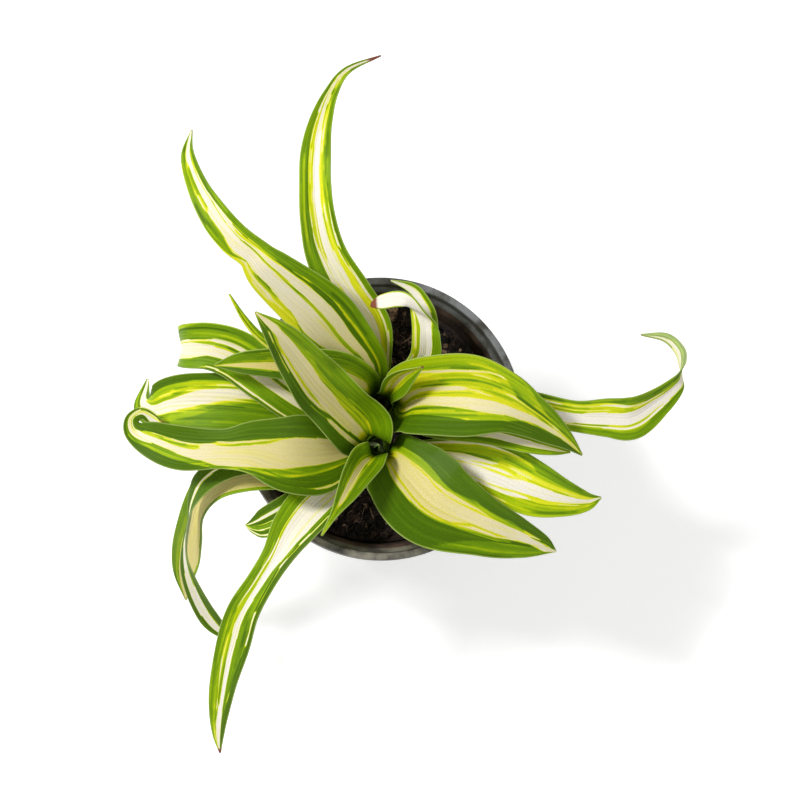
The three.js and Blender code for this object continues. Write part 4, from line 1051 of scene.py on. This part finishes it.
# %% Perforation tree
tree, given, result = geometry_tree("perforate", {
    "Count": "Int", "Hole radius": "Float", "Circle radius": "Float", "Centre": "Vector",
    "Depth": "Float", "Material": "Material"})
circle = tree.add("GeometryNodeMeshCircle",
                  {"Vertices": given["Count"], "Radius": given["Circle radius"]})
cutter = tree.add("GeometryNodeMeshCylinder",
                  {"Vertices": 32, "Radius": given["Hole radius"], "Depth": given["Depth"]})
cutters = tree.add("GeometryNodeInstanceOnPoints", {"Points": circle.outputs["Mesh"],
                                                    "Instance": cutter.outputs["Mesh"]})
moved = tree.add("GeometryNodeTransform",
                 {"Geometry": cutters.outputs[0], "Translation": given["Centre"]})
solid = tree.add("GeometryNodeRealizeInstances", {"Geometry": moved.outputs[0]})
cut = tree.add("GeometryNodeMeshBoolean", {"Mesh 1": given["Geometry"], "Mesh 2": solid.outputs[0]},
               operation="DIFFERENCE")
hand_out(tree, result, cut.outputs[0], given["Material"])
print("perforation tree:", len(tree.tree.nodes), "nodes")

# %% [markdown]
# ## Pot plastic
#
# The plastic is a greyish black that has gone dusty: olive-grey on the lip, browner inside, where
# peat has splashed up the wall. Rims of such pots are scuffed along their edges. The dust lies on
# faces that look up, so it follows the surface's own normal, and not the eye.

# %% Dust group
tree, given, result = node_group(
    "dust", {"Base": "Color", "Dust": "Color", "Amount": "Float", "Scale": "Float"},
    {"Color": "Color", "Roughness": "Float", "Height": "Float"})
where = tree.place()
cloud = tree.noise(where, given["Scale"], 5.0, 0.65)
specks = tree.noise(where, tree.math("MULTIPLY", given["Scale"], 9.0), 3.0, 0.6)
facing = tree.add("ShaderNodeSeparateXYZ", {0: tree.add("ShaderNodeNewGeometry").outputs["Normal"]})
upward = tree.step(facing.outputs["Z"], -0.2, 0.9)
patch = tree.math("MULTIPLY_ADD", tree.step(specks, 0.6, 0.75), 0.5, tree.step(cloud, 0.36, 0.68))
cover = tree.math("MULTIPLY", tree.math("MULTIPLY_ADD", upward, 0.7, 0.3), patch)
cover = tree.math("MULTIPLY", cover, given["Amount"], clamp=True)
tree.fit(result, {"Color": tree.mix(cover, given["Base"], given["Dust"]),
                  "Roughness": tree.math("MULTIPLY_ADD", cover, 0.4, 0.42),
                  "Height": tree.math("MULTIPLY_ADD", specks, 0.4, cloud)})
print("dust:", len(tree.tree.nodes), "nodes")

# %% Pot material
RING_GRAIN = (2600, 1, 1)  # how dense the scratches round the lip are
pot_plastic, tree, shader = material("pot_plastic")
where = tree.place()
place = tree.add("ShaderNodeSeparateXYZ", {0: where})
radial = tree.radius(where)
wall_slope = (POT_SHOULDER - POT_BASE) / lip_bottom
skin = tree.math("MULTIPLY_ADD", place.outputs["Z"], wall_slope, (POT_BASE - POT_WALL / 2) * MM)
inside = tree.math("SUBTRACT", 1.0, tree.step(tree.math("SUBTRACT", radial, skin), 0, 0.4 * MM))
base = tree.mix(inside, shade(66, 64, 58), shade(44, 36, 32))
east = tree.step(tree.math("ADD", place.outputs["X"], place.outputs["Y"]), -5 * MM, 32 * MM)
dust_outside = tree.mix(east, shade(136, 131, 116), shade(124, 126, 128))
dust_colour = tree.mix(inside, dust_outside, shade(88, 66, 54))
across_rings = tree.add("ShaderNodeCombineXYZ", {"X": radial}).outputs[0]
rings = tree.noise(tree.vector("MULTIPLY", across_rings, RING_GRAIN), 1.0, 1.0)
dust_colour = tree.mix(tree.step(rings, 0.6, 0.68), dust_colour, shade(150, 150, 146))
dusty = use_group(tree, "dust", {"Base": base, "Dust": dust_colour, "Amount": 0.95, "Scale": 160.0})
tree.fit(shader, {"Base Color": dusty["Color"], "Roughness": dusty["Roughness"],
                  "Normal": tree.bump(dusty["Height"], 0.12, 0.5)})
print("pot plastic:", len(tree.tree.nodes), "nodes")

# %% Bore the drain holes
DRAIN_COUNT, DRAIN_RADIUS, DRAIN_CIRCLE = 6, 2.6, 16.5
grow(pot, "perforate", {
    "Count": DRAIN_COUNT, "Hole radius": DRAIN_RADIUS * MM, "Circle radius": DRAIN_CIRCLE * MM,
    "Centre": (0.0, 0.0, POT_FLOOR / 2 * MM), "Depth": 3 * POT_FLOOR * MM, "Material": pot_plastic})
pot.data.shade_smooth()
pot.data.set_sharp_from_angle(angle=math.radians(50))
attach(pot, "root")
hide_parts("pot")
print("pot faces:", len(pot.data.polygons))

# %% [markdown]
# ## Potting soil
#
# Peat-based soil is dark, loose and full of fibres. Its plug fills the pot, and its top is a height
# field of crumbs at three scales. On it lie loose crumbs and flakes, hair-like fibres and straws,
# and a few tan chips, each scattered by one tree with a fixed seed.

# %% Soil plug
SOIL_EDGE_DIP = 0.6
SOIL_SIDES, SOIL_RINGS = 180, 44
SOIL_RELIEF = ((0.9, 0.11, 3.1), (0.75, 0.42, 8.7), (0.35, 1.3, 1.9))  # height, fineness, slice
soil_bottom = POT_FLOOR + CLEARANCE
soil_radius = pot_inner_radius(SOIL_TOP) - CLEARANCE - 0.1
soil_bottom_radius = pot_inner_radius(soil_bottom) - CLEARANCE - 1.1


def soil_height(x, y):
    """Height in mm of the soil's top at a place in mm."""
    share = math.hypot(x, y) / soil_radius
    relief = sum(height * noise.noise(Vector((x * fineness, y * fineness, level)))
                 for height, fineness, level in SOIL_RELIEF)
    return SOIL_TOP + relief * min(1, 6 * (1 - share)) - SOIL_EDGE_DIP * share ** 8


profile = [[soil_radius * (k / SOIL_RINGS), SOIL_TOP] for k in range(SOIL_RINGS, 0, -1)]
profile = [[0, soil_bottom], [soil_bottom_radius, soil_bottom], *profile, [0, SOIL_TOP]]
soil = turned("potting_soil", profile, SOIL_SIDES)
for vertex in soil.data.vertices:
    if vertex.co.z > (SOIL_TOP - 1) * MM:
        vertex.co.z = soil_height(vertex.co.x / MM, vertex.co.y / MM) * MM
print("soil radius at its top:", round(soil_radius, 1), "mm")

# %% Soil material
tree, given, result = node_group(
    "peat", {"Lightness": "Float"}, {"Color": "Color", "Height": "Float"})
where = tree.place()
clump = tree.noise(where, 420.0, 5.0, 0.65)
grit = tree.noise(where, 1900.0, 3.0, 0.6)
tone = tree.math("ADD", tree.math("MULTIPLY", clump, 0.65), tree.math("MULTIPLY", grit, 0.35))
peat_shades = ((0.36, shade(24, 20, 19)), (0.55, shade(62, 48, 41)), (0.82, shade(186, 152, 122)))
tree.fit(result, {"Color": tree.ramp(tree.math("ADD", tone, given["Lightness"]), peat_shades),
                  "Height": tree.math("MULTIPLY_ADD", grit, 0.5, clump)})


def soil_material(name, lightness):
    """The peat's finish, darker or lighter, and varied from crumb to crumb."""
    made, tree, shader = material(name)
    light = tree.math("MULTIPLY_ADD", tree.attribute("tone"), 0.42, lightness)
    peat = use_group(tree, "peat", {"Lightness": light})
    tree.fit(shader, {"Base Color": peat["Color"], "Normal": tree.bump(peat["Height"], 0.6),
                      "Roughness": 0.9, "Specular IOR Level": 0.25})
    return made


peat = soil_material("peat", -0.09)
fibre = soil_material("fibre", 0.36)
chip = soil_material("chip", 0.42)
print("soil materials:", [made.name for made in (peat, fibre, chip)])

# %% Holes for the two rootstocks
HOLE_MIDDLE, HOLE_DEPTH = 52, 24.6
HOLE_SPREAD = 0.05  # three cutters stand this near each other, and make one hole
for x, y, _ in crowns.values():
    grow(soil, "perforate", {
        "Count": 3, "Hole radius": (CROWN_RADII[0] + CLEARANCE - HOLE_SPREAD) * MM,
        "Circle radius": HOLE_SPREAD * MM,
        "Centre": (x * MM, y * MM, HOLE_MIDDLE * MM), "Depth": HOLE_DEPTH * MM, "Material": peat})
soil.data.shade_smooth()
soil.data.set_sharp_from_angle(angle=math.radians(60))
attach(soil, "root")
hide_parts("soil")
print("soil faces:", len(soil.data.polygons))

# %% Scatter tree
FULL_TURN = 6.283
tree, given, result = geometry_tree("scatter", {
    "Piece": "Object", "Density": "Float", "Smallest": "Float", "Largest": "Float",
    "Reach": "Float", "Tilt": "Float", "Seed": "Int", "Material": "Material"})
where = tree.add("GeometryNodeInputPosition").outputs[0]
height = tree.add("ShaderNodeSeparateXYZ", {0: where}).outputs["Z"]
near = tree.add("FunctionNodeCompare", {0: tree.radius(where), 1: given["Reach"]},
                operation="LESS_THAN").outputs[0]
high = tree.add("FunctionNodeCompare", {0: height, 1: (SOIL_TOP - 3) * MM},
                operation="GREATER_THAN").outputs[0]
chosen = tree.add("FunctionNodeBooleanMath", {0: near, 1: high}, operation="AND").outputs[0]
spread = tree.add("GeometryNodeDistributePointsOnFaces", {
    "Mesh": given["Geometry"], "Selection": chosen, "Density": given["Density"],
    "Seed": given["Seed"]})


def random_value(kind, low, high, offset):
    """A random value for each point, drawn from the tree's own seed."""
    node = tree.add("FunctionNodeRandomValue", data_type=kind)
    least, most = (s for s in node.inputs if s.enabled and s.name in ("Min", "Max"))
    tree.fill(least, low)
    tree.fill(most, high)
    tree.fill(node.inputs["Seed"], tree.math("ADD", given["Seed"], float(offset)))
    return next(s for s in node.outputs if s.enabled)


chance = random_value("FLOAT", 0.0, 1.0, 1)
skewed = tree.math("POWER", chance, 2.0)
size = tree.math("MULTIPLY_ADD", skewed, tree.math("SUBTRACT", given["Largest"], given["Smallest"]),
                 given["Smallest"])
lean = random_value("FLOAT_VECTOR", (-1, -1, 0), (1, 1, FULL_TURN), 2)
tilt = tree.add("ShaderNodeCombineXYZ", {"X": given["Tilt"], "Y": given["Tilt"], "Z": 1.0})
lean = tree.vector("MULTIPLY", lean, tilt.outputs[0])
part = tree.add("GeometryNodeObjectInfo", {"Object": given["Piece"]}, transform_space="ORIGINAL")
placed = tree.add("GeometryNodeInstanceOnPoints", {
    "Points": spread.outputs["Points"], "Instance": part.outputs["Geometry"], "Rotation": lean,
    "Scale": size})
tone = random_value("FLOAT", -0.5, 0.5, 3)
toned = tree.add("GeometryNodeStoreNamedAttribute", {"Geometry": placed.outputs[0], "Name": "tone"},
                 data_type="FLOAT", domain="INSTANCE")
tree.fill(next(s for s in toned.inputs if s.name == "Value" and s.enabled), tone)
hand_out(tree, result, toned.outputs[0], given["Material"])
print("scatter tree:", len(tree.tree.nodes), "nodes")

# %% A crumb and a fibre
THIRD_TURN = 2.094


def lump(name, subdivisions, squash, roughness, seed):
    """A rough crumb of about one unit across."""
    bpy.ops.mesh.primitive_ico_sphere_add(subdivisions=subdivisions, radius=0.5)
    piece = bpy.context.object
    piece.name = name
    for vertex in piece.data.vertices:
        bulge = 1 + roughness * noise.noise(vertex.co * 3.2 + Vector((seed, seed, seed)))
        vertex.co = vertex.co * bulge
        vertex.co.z *= squash
    return piece


def hair(name, bend, thickness):
    """A thin crooked fibre of about one unit long, with three sides."""
    spine = [Vector((t - 0.5, bend * math.sin(3.1 * t + bend * 9), 0.12 * math.sin(5 * t + bend)))
             for t in np.linspace(0, 1, 9)]
    points, faces = [], []
    for k, place in enumerate(spine):
        girth = thickness * (1.0 - 0.6 * k / 8)
        for side in range(3):
            turn = side * THIRD_TURN + 0.4 * k
            points.append(place + Vector((0, girth * math.cos(turn), girth * math.sin(turn))))
    for k in range(len(spine) - 1):
        for side in range(3):
            a, b = 3 * k + side, 3 * k + (side + 1) % 3
            faces.append((a, b, b + 3, a + 3))
    faces += [(2, 1, 0), (len(points) - 3, len(points) - 2, len(points) - 1)]
    return shaped(name, points, faces)


# %% Scatter over the soil
FIRST_SEED = 11

# name, pattern, how many on a square metre, smallest and largest in mm, tilt, material
SCATTERED = (
    ("soil_crumbs", lump("crumb", 2, 0.75, 0.9, 1.0), 680000, 0.6, 2.8, 1.2, peat),
    ("soil_flakes", lump("flake", 2, 0.35, 1.0, 5.0), 90000, 0.8, 3.4, 0.7, peat),
    ("soil_fibres", hair("curl", 0.22, 0.014), 190000, 2.0, 7.5, 0.5, fibre),
    ("soil_straws", hair("straw", 0.08, 0.02), 60000, 1.5, 6.0, 0.9, fibre),
    ("soil_chips", lump("splinter", 2, 0.4, 0.8, 9.0), 26000, 0.9, 3.4, 0.5, chip),
)
for order, (name, pattern, density, smallest, largest, tilt, finish) in enumerate(SCATTERED):
    litter = linked(name, soil.data.copy())
    reach = (soil_radius - largest / 2 - 0.2) * MM
    grow(litter, "scatter", {
        "Piece": pattern, "Density": float(density), "Smallest": smallest * MM,
        "Largest": largest * MM, "Reach": reach, "Tilt": tilt, "Seed": FIRST_SEED + order,
        "Material": finish})
    bpy.data.objects.remove(pattern)
    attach(litter, "root")
    print(name, "faces:", len(litter.data.polygons))

# %% [markdown]
# ## Rootstocks
#
# Each shoot stands on a short fleshy stock. It is green and ringed, because every old leaf leaves a
# scar round it. It is turned like the pot, with the rings raised by a formula.

# %% Crown flesh
crown_flesh, tree, shader = material("crown_flesh")
where = tree.place()
rings = tree.noise(tree.vector("MULTIPLY", where, (150, 150, 1400)), 1.0, 3.0, 0.6)
spots = tree.noise(where, 900.0, 3.0, 0.6)
colour = tree.mix(tree.step(rings, 0.35, 0.7), shade(84, 116, 20), shade(46, 66, 10))
colour = tree.mix(tree.step(spots, 0.62, 0.78), colour, shade(60, 44, 26))
# Painted shade: the pit at the heart of the shoot is near black.
colour = tree.mix(tree.attribute("pit_shade"), colour, shade(16, 20, 5))
tree.fit(shader, {"Base Color": colour, "Normal": tree.bump(rings, 0.1), "Roughness": 0.8,
                  "Specular IOR Level": 0.1, "Subsurface Weight": 0.2,
                  "Subsurface Scale": 1.0 * MM})
print("crown flesh:", len(tree.tree.nodes), "nodes")

# %% The two stocks
CROWN_BOTTOM, CROWN_BURIED = 40, 3.0
SCARS, SCAR_DEPTH = 1.5, 0.16  # mm from one leaf scar to the next, and between them
PIT = ((1.7, -0.25), (1.2, -0.1), (0.8, -0.5), (0.45, -1.8), (0, -2.2))  # radius, height from top
PIT_SHADE_RADIUS = {"front": 1.3, "back": 2.6}  # within this the top of the stock is painted near black, for the shade in the heart of the shoot

for name, (x, y, top) in crowns.items():
    neck = top - CROWN_ROUND
    profile = [[0, CROWN_BOTTOM], [CROWN_BURIED * 0.6, CROWN_BOTTOM],
               [CROWN_BURIED, CROWN_BOTTOM + 2]]
    for height in np.linspace(CROWN_BOTTOM + 3, SOIL_TOP - 0.5, 12):
        share = (height - CROWN_BOTTOM - 2) / (SOIL_TOP - CROWN_BOTTOM - 2)
        profile.append([CROWN_BURIED + (CROWN_RADII[0] - CROWN_BURIED) * share, height])
    for height in np.linspace(SOIL_TOP, neck, 40):
        scar = SCAR_DEPTH * abs(math.sin(math.pi * height / SCARS)) - SCAR_DEPTH
        profile.append([crown_radius(top, height) + scar, height])
    profile += [[radius, top + height] for radius, height in PIT]
    stock = turned("crown_" + name + "_stock", profile, 48)
    # Painted shade: the points of the pit that are darkened for the shade of the shoot.
    pit_shaded = [float(math.hypot(v.co.x, v.co.y) < PIT_SHADE_RADIUS[name] * MM and v.co.z > (top - 2.5) * MM)
            for v in stock.data.vertices]
    stock.data.attributes.new("pit_shade", "FLOAT", "POINT").data.foreach_set("value", pit_shaded)
    stock.data.transform(Matrix.Translation((x * MM, y * MM, 0)))
    stock.data.materials.append(crown_flesh)
    stock.data.shade_smooth()
    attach(stock, "root")
    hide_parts("crown_" + name)
    print(name, "rootstock faces:", len(stock.data.polygons))
